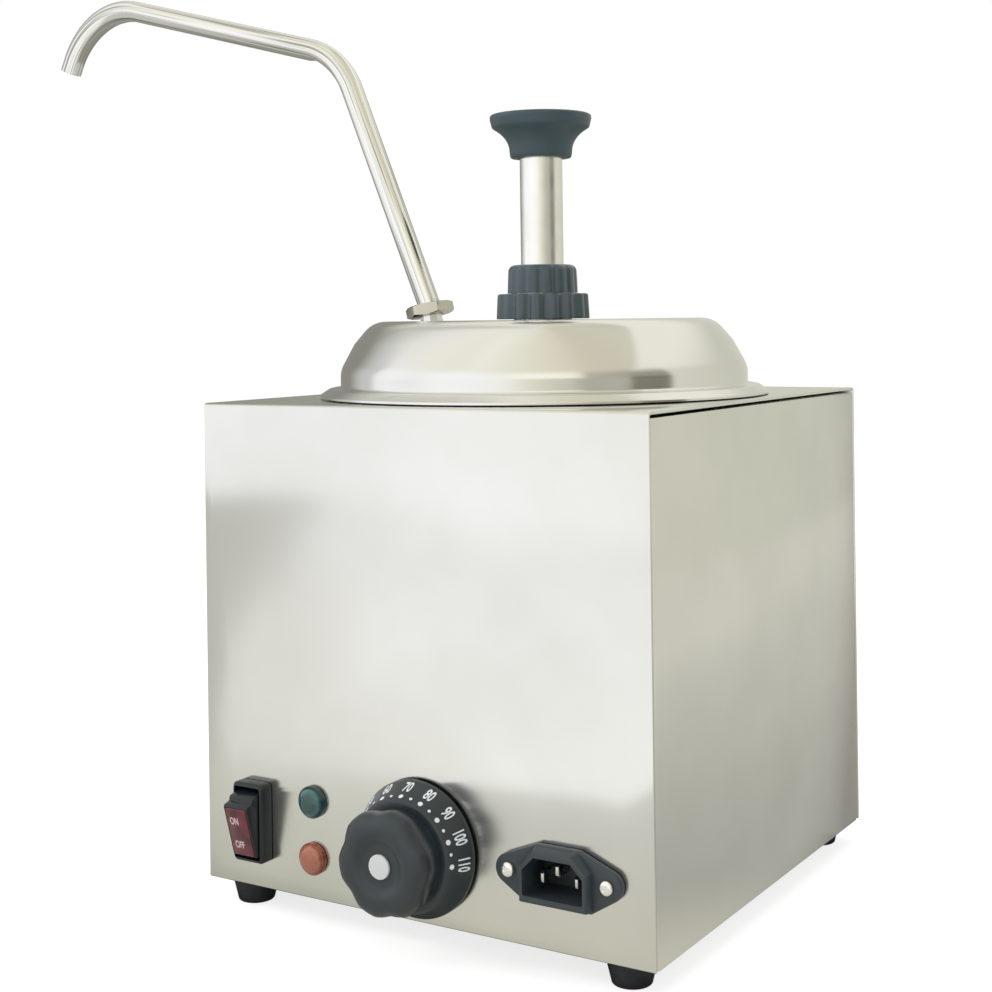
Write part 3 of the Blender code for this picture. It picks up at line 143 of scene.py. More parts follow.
ceiling_stops = ((0.0, "#D2D1CB"), (0.035, "#E8E7E1"), (0.1, "#EEEBE0"), (0.17, "#E9E7D8"),
                 (0.2, "#F0EEE2"), (0.25, "#E8E6D6"), (0.31, "#E0DDCB"), (0.37, "#DBD5C3"),
                 (0.42, "#CEC7B4"), (0.475, "#CCC6B3"), (0.56, "#CECBBA"), (0.7, "#C5C3B2"),
                 (0.79, "#CFCEBA"), (0.83, "#DBD9C9"), (0.87, "#E3E2D5"), (0.9, "#DFDED1"),
                 (0.92, "#D5D3C7"), (0.95, "#B6B6AE"), (0.985, "#C8C8C3"), (1.0, "#D2D1CB"))
skylight_tone = "#EAE8DB"
skylight_run = (0.43, 0.90, -0.53)
skylight_blur = 0.03
dado_low = 0.09
dado_high = 0.20
wall_top = 0.34
ceiling_edge = 0.68
white = linear("#FFFFFF")
wall_strength = 1.20
ambient_strength = 0.80

world = bpy.data.worlds.new("studio")
bpy.context.scene.world = world
world.use_nodes = True
sky = world.node_tree
sky.nodes.clear()
heading = add_node(sky, "SeparateXYZ", None, {0: add_node(sky, "TexCoord").outputs["Generated"]})
azimuth = add_node(sky, "Math", {"operation": "ARCTAN2"}, {0: heading.outputs["Y"], 1: heading.outputs["X"]})
turn = add_node(sky, "MapRange", None, {0: azimuth.outputs[0], 1: -pi, 2: pi})
walls, low_walls, ceiling = [add_node(sky, "ValToRGB", None, {0: turn.outputs[0]}) for _ in range(3)]
for ramp, stops in ((walls, wall_stops), (low_walls, low_stops), (ceiling, ceiling_stops)):
    fill_ramp(ramp, stops)
dado = add_node(sky, "MapRange", eased, {0: heading.outputs["Z"], 1: dado_low, 2: dado_high})
whole_walls = add_node(sky, "Mix", colours,
                       {0: dado.outputs[0], 6: low_walls.outputs[0], 7: walls.outputs[0]})
past_edge = add_node(sky, "VectorMath", {"operation": "DOT_PRODUCT"},
                     {0: add_node(sky, "TexCoord").outputs["Generated"], 1: skylight_run})
skylight = add_node(sky, "MapRange", eased,
                    {0: past_edge.outputs["Value"], 1: -skylight_blur, 2: skylight_blur})
lit_ceiling = add_node(sky, "Mix", colours,
                       {0: skylight.outputs[0], 6: ceiling.outputs[0], 7: linear(skylight_tone)})
lift = add_node(sky, "MapRange", eased, {0: heading.outputs["Z"], 1: wall_top, 2: ceiling_edge})
studio = add_node(sky, "Mix", colours,
                  {0: lift.outputs[0], 6: whole_walls.outputs[2], 7: lit_ceiling.outputs[2]})
rays = add_node(sky, "LightPath")
mirrored = add_node(sky, "Math", {"operation": "MAXIMUM"},
                    {0: rays.outputs["Is Glossy Ray"], 1: rays.outputs["Is Transmission Ray"]})
ambient = add_node(sky, "Background", None, {0: white, 1: ambient_strength})
reflected = add_node(sky, "Background", None, {0: studio.outputs[2], 1: wall_strength})
backdrop = add_node(sky, "Background", None, {0: white, 1: 1.0})
indirect = add_node(sky, "MixShader", None,
                    {0: mirrored.outputs[0], 1: ambient.outputs[0], 2: reflected.outputs[0]})
seen = add_node(sky, "MixShader", None,
                {0: rays.outputs["Is Camera Ray"], 1: indirect.outputs[0], 2: backdrop.outputs[0]})
add_node(sky, "OutputWorld", None, {0: seen.outputs[0]})

floor_half = 2.5
table_edge_near = Vector((-0.250, -0.278, 0))
table_edge_far = Vector((-0.019, -0.316, 0))
mat_edge = (-0.414, -0.737, 0)
mat_normal = (0.828, -0.560, 0)
mat_blur = 0.034
table_depth = 1.8
table_overhang = 0.2
corner_normal = (-0.743, 0.670, 0)
side_normal = (0.707, 0.707, 0)
shade_tone = "#8F8E86"
painted_under_shade_tone = "#3A3A38"
under_near = 0.098
under_far = 0.108
floor_mesh = bpy.data.meshes.new("floor")
floor_level = cad_low[2]
floor_mesh.from_pydata([(x, y, floor_level) for x, y in
                        ((-floor_half, -floor_half), (floor_half, -floor_half),
                         (floor_half, floor_half), (-floor_half, floor_half))], [], [(0, 1, 2, 3)])
floor = bpy.data.objects.new("floor", floor_mesh)
bpy.context.scene.collection.objects.link(floor)

paper = bpy.data.materials.new("white_paper_sweep")
paper.use_nodes = True
tree = paper.node_tree
tree.nodes.clear()
edge_run = (table_edge_far - table_edge_near).normalized()
edge_normal = Vector((-edge_run.y, edge_run.x, 0))
where = add_node(tree, "NewGeometry").outputs["Position"]
beyond = add_node(tree, "VectorMath", {"operation": "DOT_PRODUCT"}, {0: where, 1: edge_normal})
edge_distance = add_node(tree, "Math", {"operation": "SUBTRACT"},
                         {0: beyond.outputs["Value"], 1: edge_normal.dot(table_edge_near)})
corner_run = add_node(tree, "VectorMath", {"operation": "DOT_PRODUCT"}, {0: where, 1: corner_normal})
far_left_painted_shade = add_node(tree, "MapRange", eased, {0: corner_run.outputs["Value"], 1: 0.05, 2: 0.11})
edge_place = add_node(tree, "MapRange", None,
                      {0: edge_distance.outputs[0], 1: -table_depth, 2: table_overhang})
front_tone = add_node(tree, "ValToRGB", None, {0: edge_place.outputs[0]})
fill_ramp(front_tone, ((0.0, "#F2F2F1"), (0.25, "#EEEEED"), (0.45, "#F0F0EF"), (0.70, "#F1F1EF"),
                       (0.85, "#F3F3F0"), (0.897, "#F3F3F0"), (0.905, "#D2D2CB"), (0.93, "#C9C9C1"),
                       (0.97, "#C8C7BD"), (1.0, "#C6C4B6")))
left_tone = add_node(tree, "ValToRGB", None, {0: edge_place.outputs[0]})
fill_ramp(left_tone, ((0.0, "#E9E9E8"), (0.30, "#E7E7E5"), (0.60, "#E6E5E1"), (0.85, "#E2E1DC"),
                      (0.897, "#E2E1DB"), (0.905, "#D6D6CE"), (0.94, "#CACAC0"), (1.0, "#B8B8AA")))
past_mat = add_node(tree, "VectorMath", {"operation": "SUBTRACT"}, {0: where, 1: mat_edge}).outputs[0]
mat_distance = add_node(tree, "VectorMath", {"operation": "DOT_PRODUCT"}, {0: past_mat, 1: mat_normal})
off_mat = add_node(tree, "MapRange", eased, {0: mat_distance.outputs["Value"], 1: -mat_blur, 2: mat_blur})
front_tone = add_node(tree, "Mix", colours,
                      {0: off_mat.outputs[0], 6: left_tone.outputs[0], 7: front_tone.outputs[0]})
# Painted shade: far to the left the mirrored table is a little greyer.
front_tone = add_node(tree, "Mix", colours,
                      {0: far_left_painted_shade.outputs[0], 6: front_tone.outputs[2], 7: linear("#BDBCB6")})
side_dot = add_node(tree, "VectorMath", {"operation": "DOT_PRODUCT"}, {0: where, 1: side_normal})
side_place = add_node(tree, "MapRange", eased, {0: side_dot.outputs["Value"], 1: 0.0, 2: 0.14})
side_fade = add_node(tree, "MapRange", None, {0: side_dot.outputs["Value"], 1: 0.1, 2: 1.2})
side_tone = add_node(tree, "ValToRGB", None, {0: side_fade.outputs[0]})
fill_ramp(side_tone, ((0.0, "#A8A8A0"), (0.30, "#B9B8AE"), (1.0, "#CCCBC0")))
table_tone = add_node(tree, "Mix", colours,
                      {0: side_place.outputs[0], 6: front_tone.outputs[2], 7: side_tone.outputs[0]})
# Painted shade on the mirrored table: behind on the left it lies in the warmer's own shade, and under the warmer
# it is painted nearly black.
spot = add_node(tree, "SeparateXYZ", None, {0: where})
behind = add_node(tree, "MapRange", None, {0: spot.outputs["Y"], 1: -0.13, 2: -0.08})
leftwards = add_node(tree, "MapRange", None, {0: spot.outputs["X"], 1: 0.12, 2: 0.06})
shade = add_node(tree, "Math", {"operation": "MULTIPLY"}, {0: behind.outputs[0], 1: leftwards.outputs[0]})
shaded_table = add_node(tree, "Mix", colours,
                        {0: shade.outputs[0], 6: table_tone.outputs[2], 7: linear(shade_tone)})
spans = [add_node(tree, "Math", {"operation": "ABSOLUTE"}, {0: spot.outputs[axis]}).outputs[0]
         for axis in ("X", "Y")]
reach = add_node(tree, "Math", {"operation": "MAXIMUM"}, {0: spans[0], 1: spans[1]})
# Painted shade: under the warmer the mirrored table is nearly black.
under = add_node(tree, "MapRange", eased, {0: reach.outputs[0], 1: under_near, 2: under_far, 3: 1.0, 4: 0.0})
table_tone = add_node(tree, "Mix", colours,
                      {0: under.outputs[0], 6: shaded_table.outputs[2], 7: linear(painted_under_shade_tone)})
rays = add_node(tree, "LightPath")
matt = add_node(tree, "BsdfDiffuse", None, {0: linear("#E4E4E3")})
# The paper's own light is for the camera alone: it brings the lit paper up to white and leaves the shadow.
matt_seen = add_node(tree, "BsdfDiffuse", None, {0: linear("#A0A09F")})
shown_white = add_node(tree, "Emission", None, {0: white, 1: 0.78})
paper_seen = add_node(tree, "AddShader", None, {0: matt_seen.outputs[0], 1: shown_white.outputs[0]})
paper_tone = add_node(tree, "MixShader", None,
                      {0: rays.outputs["Is Camera Ray"], 1: matt.outputs[0], 2: paper_seen.outputs[0]})
mirrored_table = add_node(tree, "Emission", None, {0: table_tone.outputs[2], 1: wall_strength})
surface = add_node(tree, "MixShader", None,
                   {0: rays.outputs["Is Glossy Ray"], 1: paper_tone.outputs[0], 2: mirrored_table.outputs[0]})
add_node(tree, "OutputMaterial", None, {0: surface.outputs[0]})
floor_mesh.materials.append(paper)

lamp_target = Vector((0, 0, 0.12))
for name, place, size, power in (("key_softbox", (-1.30, -0.95, 1.25), 0.9, 15.0),
                                 ("top_softbox", (0.15, 0.10, 1.90), 1.2, 9.0),
                                 ("fill_softbox", (1.45, -0.90, 0.75), 1.0, 3.5)):
    light = bpy.data.lights.new(name, "AREA")
    light.size = size
    light.energy = power
    lamp = bpy.data.objects.new(name, light)
    lamp.location = place
    lamp.rotation_euler = (lamp_target - Vector(place)).to_track_quat("-Z", "Y").to_euler()
    lamp.visible_glossy = False
    bpy.context.scene.collection.objects.link(lamp)


# Housing shell
# One sheet of 1 mm stainless steel 304, cut, then folded into the front, the top and the back.
# Its 2B mill finish is a soft, cloudy mirror with a faint rolling grain along the sheet.
half_width = 101.0 * mm
half_depth = 101.0 * mm
shell_height = 192.5 * mm
sheet = 1.0 * mm
fold_radius = 1.5 * mm
cut_edge = 0.15 * mm
well_hole_radius = 85.2 * mm
bottom_edge = 0.6 * mm
rolling_grain = (60.0, 60.0, 0.35)
cloud_size = 45.0
dent_size = 90.0


def finish(name, hex_colour, roughness, metallic=0.0, ior=1.5):
    """A material with its uniform values on the shader's own sockets: the material, its tree, its shader."""
    material = bpy.data.materials.new(name)
    material.use_nodes = True
    shader = material.node_tree.nodes["Principled BSDF"]
    shader.inputs["Base Color"].default_value = linear(hex_colour)
    shader.inputs["Roughness"].default_value = roughness
    shader.inputs["Metallic"].default_value = metallic
    if metallic == 0.0:
        shader.inputs["IOR"].default_value = ior
    return material, material.node_tree, shader


def noise(tree, sizes_mm, detail=2.0):
    """Noise whose grains measure the given millimetres along X, Y and Z."""
    coordinates = add_node(tree, "TexCoord").outputs["Object"]
    scale = tuple(1000.0 / size for size in sizes_mm)
    mapped = add_node(tree, "Mapping", None, {"Vector": coordinates, "Scale": scale})
    grain = add_node(tree, "TexNoise", None, {"Vector": mapped.outputs[0], "Scale": 1.0, "Detail": detail})
    return grain.outputs["Fac"]


def spread(tree, factor, low, high):
    """A factor whose middle part is spread from low to high."""
    return add_node(tree, "MapRange", None, {0: factor, 1: 0.3, 2: 0.7, 3: low, 4: high}).outputs[0]


def bumped(tree, shader, heights):
    """Bumps of (height factor, depth in mm) laid over each other under the shader."""
    normal = None
    for height, depth in heights:
        inputs = {"Height": height, "Distance": depth * mm, "Strength": 1.0}
        if normal:
            inputs["Normal"] = normal
        normal = add_node(tree, "Bump", None, inputs).outputs[0]
    tree.links.new(normal, shader.inputs["Normal"])


def toned(tree, shader, factor, first, second):
    """Let the base colour drift from one tone to another with a factor."""
    drift = add_node(tree, "Mix", colours,
                     {0: spread(tree, factor, 0.0, 1.0), 6: linear(first), 7: linear(second)})
    tree.links.new(drift.outputs[2], shader.inputs["Base Color"])


def brushed(tree, shader, strength, turned=0.0):
    """Stretch the reflections round the Z axis, or across it at a quarter turn."""
    shader.inputs["Anisotropic"].default_value = strength
    shader.inputs["Anisotropic Rotation"].default_value = turned
    tangent = add_node(tree, "Tangent", {"direction_type": "RADIAL", "axis": "Z"})
    tree.links.new(tangent.outputs[0], shader.inputs["Tangent"])


sheet_steel, tree, shader = finish("stainless_2b_sheet", "#E6E6E4", 0.15, metallic=1.0)
brushed(tree, shader, 0.95)
clouds = noise(tree, (cloud_size, cloud_size, cloud_size), 3.0)
grain = noise(tree, rolling_grain)
tree.links.new(spread(tree, clouds, 0.13, 0.17), shader.inputs["Roughness"])
toned(tree, shader, clouds, "#E8E8E6", "#E2E2DF")
dents = noise(tree, (dent_size, dent_size, dent_size), 0.0)
bumped(tree, shader, ((dents, 0.25), (grain, 0.0015)))


def arc(last, here, following, radius, steps):
    """The points of an arc that rounds the corner here, between the last and the following one."""
    before = (Vector(last[:2]) - here).normalized()
    after = (Vector(following[:2]) - here).normalized()
    half = before.angle(after) / 2
    middle = here + (before + after).normalized() * radius / sin(half)
    start = here + before * radius / tan(half) - middle
    end = here + after * radius / tan(half) - middle
    sweep = atan2(start.x * end.y - start.y * end.x, start.dot(end))
    return [middle + Matrix.Rotation(sweep * step / steps, 2) @ start for step in range(steps + 1)]


def rounded_outline(corners, steps=8):
    """The corners (x, y, radius) of a closed outline, with an arc at each radius."""
    points = []
    for index, (x, y, radius) in enumerate(corners):
        if radius <= 0:
            points.append((x, y))
            continue
        after = corners[(index + 1) % len(corners)]
        points += [tuple(point) for point in arc(corners[index - 1], Vector((x, y)), after, radius, steps)]
    return points


def shaped(name, bm, material, sharp=35.0, place=None):
    """Finish a bmesh as an object: welded, faces out, smooth but for its sharp edges."""
    bmesh.ops.remove_doubles(bm, verts=bm.verts[:], dist=0.001 * mm)
    bmesh.ops.recalc_face_normals(bm, faces=bm.faces[:])
    mesh = bpy.data.meshes.new(name)
    bm.to_mesh(mesh)
    bm.free()
    if place:
        mesh.transform(place)
    mesh.shade_smooth()
    mesh.set_sharp_from_angle(angle=radians(sharp))
    mesh.materials.append(material)
    piece = bpy.data.objects.new(name, mesh)
    bpy.context.scene.collection.objects.link(piece)
    return piece


def prism(name, outline, low, high, material, edge=0.0, place=None, sharp=35.0):
    """A closed flat outline pulled from low to high, with its end edges rounded."""
    bm = bmesh.new()
    base = bm.faces.new([bm.verts.new((x, y, low)) for x, y in outline])
    lifted = bmesh.ops.extrude_face_region(bm, geom=[base])
    raised = [item for item in lifted["geom"] if isinstance(item, bmesh.types.BMVert)]
    bmesh.ops.translate(bm, verts=raised, vec=(0, 0, high - low))
    if edge > 0:
        rims = [e for e in bm.edges if abs(e.verts[0].co.z - e.verts[1].co.z) < edge / 100]
        bmesh.ops.bevel(bm, geom=rims, offset=edge, segments=2, profile=0.5, affect="EDGES")
    return shaped(name, bm, material, sharp, place)


def cut(piece, cutter, operation="DIFFERENCE"):
    """Cut a piece with another for good, and drop the cutter."""
    step = piece.modifiers.new("cut", "BOOLEAN")
    step.operation = operation
    step.solver = "EXACT"
    step.object = cutter
    evaluated = piece.evaluated_get(bpy.context.evaluated_depsgraph_get())
    mesh = bpy.data.meshes.new_from_object(evaluated)
    piece.modifiers.clear()
    piece.data = mesh
    mesh.set_sharp_from_angle(angle=radians(35.0))
    bpy.data.objects.remove(cutter, do_unlink=True)


def bore(piece, outline, low, high, place=None):
    """Cut an outline out of a piece for good, from low to high."""
    cut(piece, prism("hole", outline, low, high, piece.data.materials[0], 0.0, place))


def fitted(piece, body, slot, *nodes):
    """Tie a piece to its body, and let it stand for its node; the slot is not used."""
    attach(piece, body)
    if nodes:
        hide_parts(*nodes)


def ring_points(radius, steps=24, x=0.0, y=0.0):
    return [(x + radius * cos(2 * pi * i / steps), y + radius * sin(2 * pi * i / steps)) for i in range(steps)]


inner_fold = fold_radius - sheet
shell_outline = rounded_outline([
    (-half_depth, 0, bottom_edge), (-half_depth, shell_height, fold_radius),
    (half_depth, shell_height, fold_radius), (half_depth, 0, bottom_edge), (half_depth - sheet, 0, 0),
    (half_depth - sheet, shell_height - sheet, inner_fold),
    (-half_depth + sheet, shell_height - sheet, inner_fold), (-half_depth + sheet, 0, 0)])
lying = Matrix.Rotation(pi / 2, 4, "Z") @ Matrix.Rotation(pi / 2, 4, "X")
shell = prism("housing_shell", shell_outline, -half_width, half_width, sheet_steel, cut_edge, lying)
bore(shell, ring_points(well_hole_radius, 96), shell_height - 3 * sheet, shell_height + 3 * sheet)


def on_panel(x, z, proud=0.0, tilt=0.0):
    """The place on the front panel at x, z, with local Z out of the panel and local Y up."""
    return Matrix.Translation((x, -half_depth - proud, z)) @ Matrix.Rotation(pi / 2 + tilt, 4, "X")


def front_place(node):
    """The x and z of the middle of a frame node on the front panel."""
    low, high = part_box(node)
    return (low[0] + high[0]) / 2, (low[2] + high[2]) / 2


def oblong(half_x, half_y, radius=0.0, steps=4):
    return rounded_outline([(-half_x, -half_y, radius), (half_x, -half_y, radius), (half_x, half_y, radius),
                            (-half_x, half_y, radius)], steps)


def socket_outline(half_x, half_z, bevel, foot, soft):
    """An oblong with cut upper corners and rounded lower ones."""
    return rounded_outline([(-half_x, -half_z, foot), (half_x, -half_z, foot), (half_x, half_z - bevel, soft),
                            (half_x - bevel, half_z, soft), (-half_x + bevel, half_z, soft),
                            (-half_x, half_z - bevel, soft)], 5)


switch_x, switch_z = front_place("switch_housing")
dial_x, dial_z = front_place("dial_cap")
inlet_x, inlet_z = front_place("inlet_body")
screw_spacing = 40.0 * mm
thermostat_spacing = 28.0 * mm
switch_hole_half_x = 7.3 * mm
switch_hole_half_z = 15.1 * mm
shaft_hole_radius = 4.5 * mm
lamp_hole_radius = 4.9 * mm
thermostat_hole_radius = 2.1 * mm
inlet_hole_half_x = 13.9 * mm
inlet_hole_half_z = 9.7 * mm
inlet_bevel = 6.0 * mm
ear_hole_radius = 2.0 * mm
panel_cuts = [(oblong(switch_hole_half_x, switch_hole_half_z), switch_x, switch_z),
              (ring_points(shaft_hole_radius, 40), dial_x, dial_z),
              (socket_outline(inlet_hole_half_x, inlet_hole_half_z, inlet_bevel, 0, 0), inlet_x, inlet_z)]
for colour in ("green", "orange"):
    panel_cuts.append((ring_points(lamp_hole_radius, 40), *front_place("lamp_" + colour + "_lens")))
for sign in (-0.5, 0.5):
    panel_cuts.append((ring_points(thermostat_hole_radius), dial_x + sign * thermostat_spacing, dial_z))
    panel_cuts.append((ring_points(ear_hole_radius), inlet_x + sign * screw_spacing, inlet_z))
for outline, x, z in panel_cuts:
    bore(shell, outline, -3 * sheet, 3 * sheet, on_panel(x, z))
fitted(shell, "housing", "brushed_steel", "wrap_shell")


# Side panels, base tray and the sheet metal inside
# The sides are folded pans of the same sheet, set in between the front and the back, so a dark
# seam runs round them. The tray closes the bottom, and the well hangs under the top.
def recoat(material, *nodes):
    """Give frame nodes that keep their shape a better material."""
    for name in nodes:
        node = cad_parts[name]
        for slot in node.material_slots:
            slot.material = material


panel_flange = 10.0 * mm
panel_fold = 1.6 * mm
front_gap = 0.4 * mm
top_gap = 0.3 * mm
for side, outer, inner in (("left", -half_width, -half_width + panel_flange),
                           ("right", half_width, half_width - panel_flange)):
    low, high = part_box("side_panel_" + side)
    front, back, head = low[1] + front_gap, high[1] - front_gap, high[2] - top_gap
    face = [(front, low[2] - 3 * sheet), (back, low[2] - 3 * sheet), (back, head), (front, head)]
    near, far = sorted((outer, inner))
    pan = prism("side_pan_" + side, face, near, far, sheet_steel, panel_fold, lying)
    bore(pan, [(front - sheet, low[2] - 9 * sheet), (back + sheet, low[2] - 9 * sheet),
               (back + sheet, low[2]), (front - sheet, low[2])], near - sheet, far + sheet, lying)
    inside = [(front + sheet, low[2] - sheet), (back - sheet, low[2] - sheet), (back - sheet, head - sheet),
              (front + sheet, head - sheet)]
    wall = sheet if side == "right" else -sheet
    bore(pan, inside, *sorted((outer - wall, inner - 3 * wall)), lying)
    fitted(pan, "housing", "brushed_steel", "side_panel_" + side)

hidden_steel, tree, shader = finish("stainless_2b_inner", "#CDCCC5", 0.26, metallic=1.0)
draw_marks = noise(tree, (2.5, 2.5, 30.0), 3.0)
tree.links.new(spread(tree, draw_marks, 0.22, 0.32), shader.inputs["Roughness"])
bumped(tree, shader, ((draw_marks, 0.006),))
recoat(hidden_steel, "base_tray", "heating_well", "pump_cylinder", "valve_body")


# Feet
# Four tapered feet moulded in black nitrile rubber, each with a deep recess for its screw. The
# mould leaves a fine dull grain, and the floor has polished the lower edge a little.
foot_top_radius = 9.3 * mm
foot_bottom_radius = 7.2 * mm
foot_recess_radius = 4.5 * mm
foot_recess_depth = 5.0 * mm
foot_edge = 1.1 * mm
foot_lip = 0.5 * mm
foot_hole_radius = 2.3 * mm

foot_rubber, tree, shader = finish("moulded_nitrile_rubber", "#1E2226", 0.62, ior=1.52)
rubber_grain = noise(tree, (0.5, 0.5, 0.5), 4.0)
tree.links.new(spread(tree, rubber_grain, 0.54, 0.70), shader.inputs["Roughness"])
toned(tree, shader, noise(tree, (6.0, 6.0, 3.0), 3.0), "#1C2024", "#262A2E")
bumped(tree, shader, ((rubber_grain, 0.02),))


def spun(name, outline, material, steps=64, place=None, sharp=35.0):
    """A closed (radius, height) outline turned once round Z."""
    bm = bmesh.new()
    verts = [bm.verts.new((radius, 0, height)) for radius, height in outline]
    edges = [bm.edges.new((verts[i - 1], verts[i])) for i in range(len(verts))
             if outline[i - 1][0] > 0 or outline[i][0] > 0]
    bmesh.ops.spin(bm, geom=verts + edges, cent=(0, 0, 0), axis=(0, 0, 1), angle=2 * pi,
                   steps=steps, use_merge=True, use_duplicate=False)
    return shaped(name, bm, material, sharp, place)


corners = ("front_left", "front_right", "rear_left", "rear_right")
for corner in corners:
    low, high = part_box("foot_" + corner)
    middle = Matrix.Translation(((low[0] + high[0]) / 2, (low[1] + high[1]) / 2, 0))
    foot = spun("rubber_foot_" + corner, rounded_outline([
        (foot_recess_radius, low[2], foot_lip), (foot_bottom_radius, low[2], foot_edge),
        (foot_top_radius, high[2] - foot_lip, foot_lip), (foot_top_radius, high[2], 0),
        (foot_hole_radius, high[2], 0), (foot_hole_radius, low[2] + foot_recess_depth, 0),
        (foot_recess_radius, low[2] + foot_recess_depth, 0)], 5), foot_rubber, 56, middle)
    fitted(foot, "housing", "black_rubber", "foot_" + corner)

plated, tree, shader = finish("bright_nickel_plate", "#D4D2CD", 0.22, metallic=1.0)
plate_haze = noise(tree, (1.2, 1.2, 1.2), 3.0)
tree.links.new(spread(tree, plate_haze, 0.17, 0.30), shader.inputs["Roughness"])
bumped(tree, shader, ((plate_haze, 0.004),))
recoat(plated, *["foot_screw_" + corner for corner in corners])


# Heater and wiring parts under the well
# A sheathed heater ring clamped up to the well, a round safety switch, a white ceramic terminal
# block, and the thermostat with its copper bulb. All of them are hidden once it is closed.
heater_sheath, tree, shader = finish("heat_tinted_incoloy", "#8E7F6C", 0.38, metallic=1.0)
toned(tree, shader, noise(tree, (14.0, 14.0, 14.0), 2.0), "#8E7F6C", "#6C6A74")
bumped(tree, shader, ((noise(tree, (0.8, 0.8, 0.8)), 0.01),))
recoat(heater_sheath, "heating_element")
recoat(plated, "element_clamp", "clamp_nut", "inlet_nut_left", "inlet_nut_right", "thermostat_screw_left",
       "thermostat_screw_right", "thermostat_shaft")

ceramic, tree, shader = finish("pressed_steatite", "#E8E6DE", 0.48, ior=1.6)
bumped(tree, shader, ((noise(tree, (0.4, 0.4, 0.4), 4.0), 0.012),))
recoat(ceramic, "terminal_block")

bakelite, tree, shader = finish("moulded_phenolic", "#2B2523", 0.42, ior=1.6)
bumped(tree, shader, ((noise(tree, (0.7, 0.7, 0.7), 3.0), 0.008),))
recoat(bakelite, "thermal_cutout")

thermostat_plastic, tree, shader = finish("moulded_polyester_white", "#E4E3DF", 0.40, ior=1.55)
bumped(tree, shader, ((noise(tree, (0.6, 0.6, 0.6), 3.0), 0.006),))
recoat(thermostat_plastic, "thermostat_body", "lamp_green_body", "lamp_orange_body")

drawn_copper, tree, shader = finish("drawn_copper_tube", "#C8825A", 0.28, metallic=1.0)
toned(tree, shader, noise(tree, (5.0, 5.0, 9.0), 3.0), "#CC875F", "#A9653F")
recoat(drawn_copper, "thermostat_bulb")


# Sauce pot and lid seal
# A straight pot drawn from 0.8 mm stainless steel, polished inside, whose flat rim lies on the
# housing's top. A thin grey-black silicone ring keeps the lid from rattling on it.
pot_radius = 79.5 * mm
pot_wall = 0.8 * mm
pot_corner = 12.0 * mm
pot_neck = 3.0 * mm
seal_edge = 0.4 * mm
seal_width = 4.8 * mm

polished, tree, shader = finish("polished_stainless", "#E4E4E1", 0.10, metallic=1.0)
polish_lines = noise(tree, (0.5, 0.5, 25.0), 2.0)
ripple = noise(tree, (9.0, 9.0, 22.0), 1.0)
tree.links.new(spread(tree, polish_lines, 0.07, 0.14), shader.inputs["Roughness"])
bumped(tree, shader, ((ripple, 0.02), (polish_lines, 0.001)))

pot_low, pot_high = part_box("sauce_pot")
rim_radius = pot_high[0]
pot = spun("drawn_sauce_pot", rounded_outline([
    (0, pot_low[2], 0), (pot_radius, pot_low[2], pot_corner), (pot_radius, pot_high[2] - pot_wall, pot_neck),
    (rim_radius, pot_high[2] - pot_wall, 0.35 * mm), (rim_radius, pot_high[2], 0.35 * mm),
    (pot_radius - pot_wall, pot_high[2], pot_neck + pot_wall),
    (pot_radius - pot_wall, pot_low[2] + pot_wall, pot_corner - pot_wall), (0, pot_low[2] + pot_wall, 0)], 6),
    polished, 128)
fitted(pot, "pot", "polished_steel", "sauce_pot")

silicone, tree, shader = finish("moulded_silicone", "#2C2C2A", 0.50, ior=1.43)
bumped(tree, shader, ((noise(tree, (0.8, 0.8, 0.8), 3.0), 0.01),))
seal_low, seal_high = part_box("lid_seal")
seal = spun("silicone_seal", rounded_outline([
    (seal_high[0] - seal_width, seal_low[2], seal_edge), (seal_high[0], seal_low[2], seal_edge),
    (seal_high[0], seal_high[2], seal_edge), (seal_high[0] - seal_width, seal_high[2], seal_edge)], 3),
    silicone, 128)
fitted(seal, "seal", "dark_silicone", "lid_seal")
recoat(silicone, "piston_seal")


# Lid
# A dome pressed and spun from 0.8 mm stainless steel, with a flat top and a turned-down lip. It
# was polished on the lathe, so fine rings round the axis pull each reflection into a fan.
lid_wall = 0.8 * mm
dome_radius = 86.2 * mm
shoulder_radius = 80.2 * mm
crown_radius = 72.3 * mm
flange_edge = 91.0 * mm
knee_bend = 11.0 * mm
crown_bend = 11.5 * mm
foot_bend = 1.2 * mm
flange_bend = 2.5 * mm
lip_bend = 0.5 * mm
flange_depth = 28.0 * mm
lip_height = 0.5 * mm
lip_drop = 0.4 * mm
flange_slope = 0.3 * mm
dome_straight = 7.4 * mm
shoulder_rise = 18.4 * mm
lid_hole_radius = 12.8 * mm

spun_steel, tree, shader = finish("spun_stainless", "#E7E7E6", 0.22, metallic=1.0)
brushed(tree, shader, 0.60, 0.25)
place = add_node(tree, "SeparateXYZ", None, {0: add_node(tree, "TexCoord").outputs["Object"]})
squares = [add_node(tree, "Math", {"operation": "POWER"}, {0: place.outputs[axis], 1: 2.0}).outputs[0]
           for axis in ("X", "Y")]
radius_squared = add_node(tree, "Math", {"operation": "ADD"}, {0: squares[0], 1: squares[1]})
from_axis = add_node(tree, "Math", {"operation": "SQRT"}, {0: radius_squared.outputs[0]})
ring_place = add_node(tree, "CombineXYZ", None, {"X": from_axis.outputs[0], "Z": place.outputs["Z"]})
# The lathe rings are drawn 0.6 mm apart, coarser than the real ones, so that they show.
lathe_rings = add_node(tree, "TexNoise", None,
                       {"Vector": ring_place.outputs[0], "Scale": 1000.0 / 0.6, "Detail": 1.0})
lid_haze = noise(tree, (30.0, 30.0, 20.0), 2.0)
tree.links.new(spread(tree, lid_haze, 0.14, 0.20), shader.inputs["Roughness"])
bumped(tree, shader, ((lathe_rings.outputs["Fac"], 0.0012),))


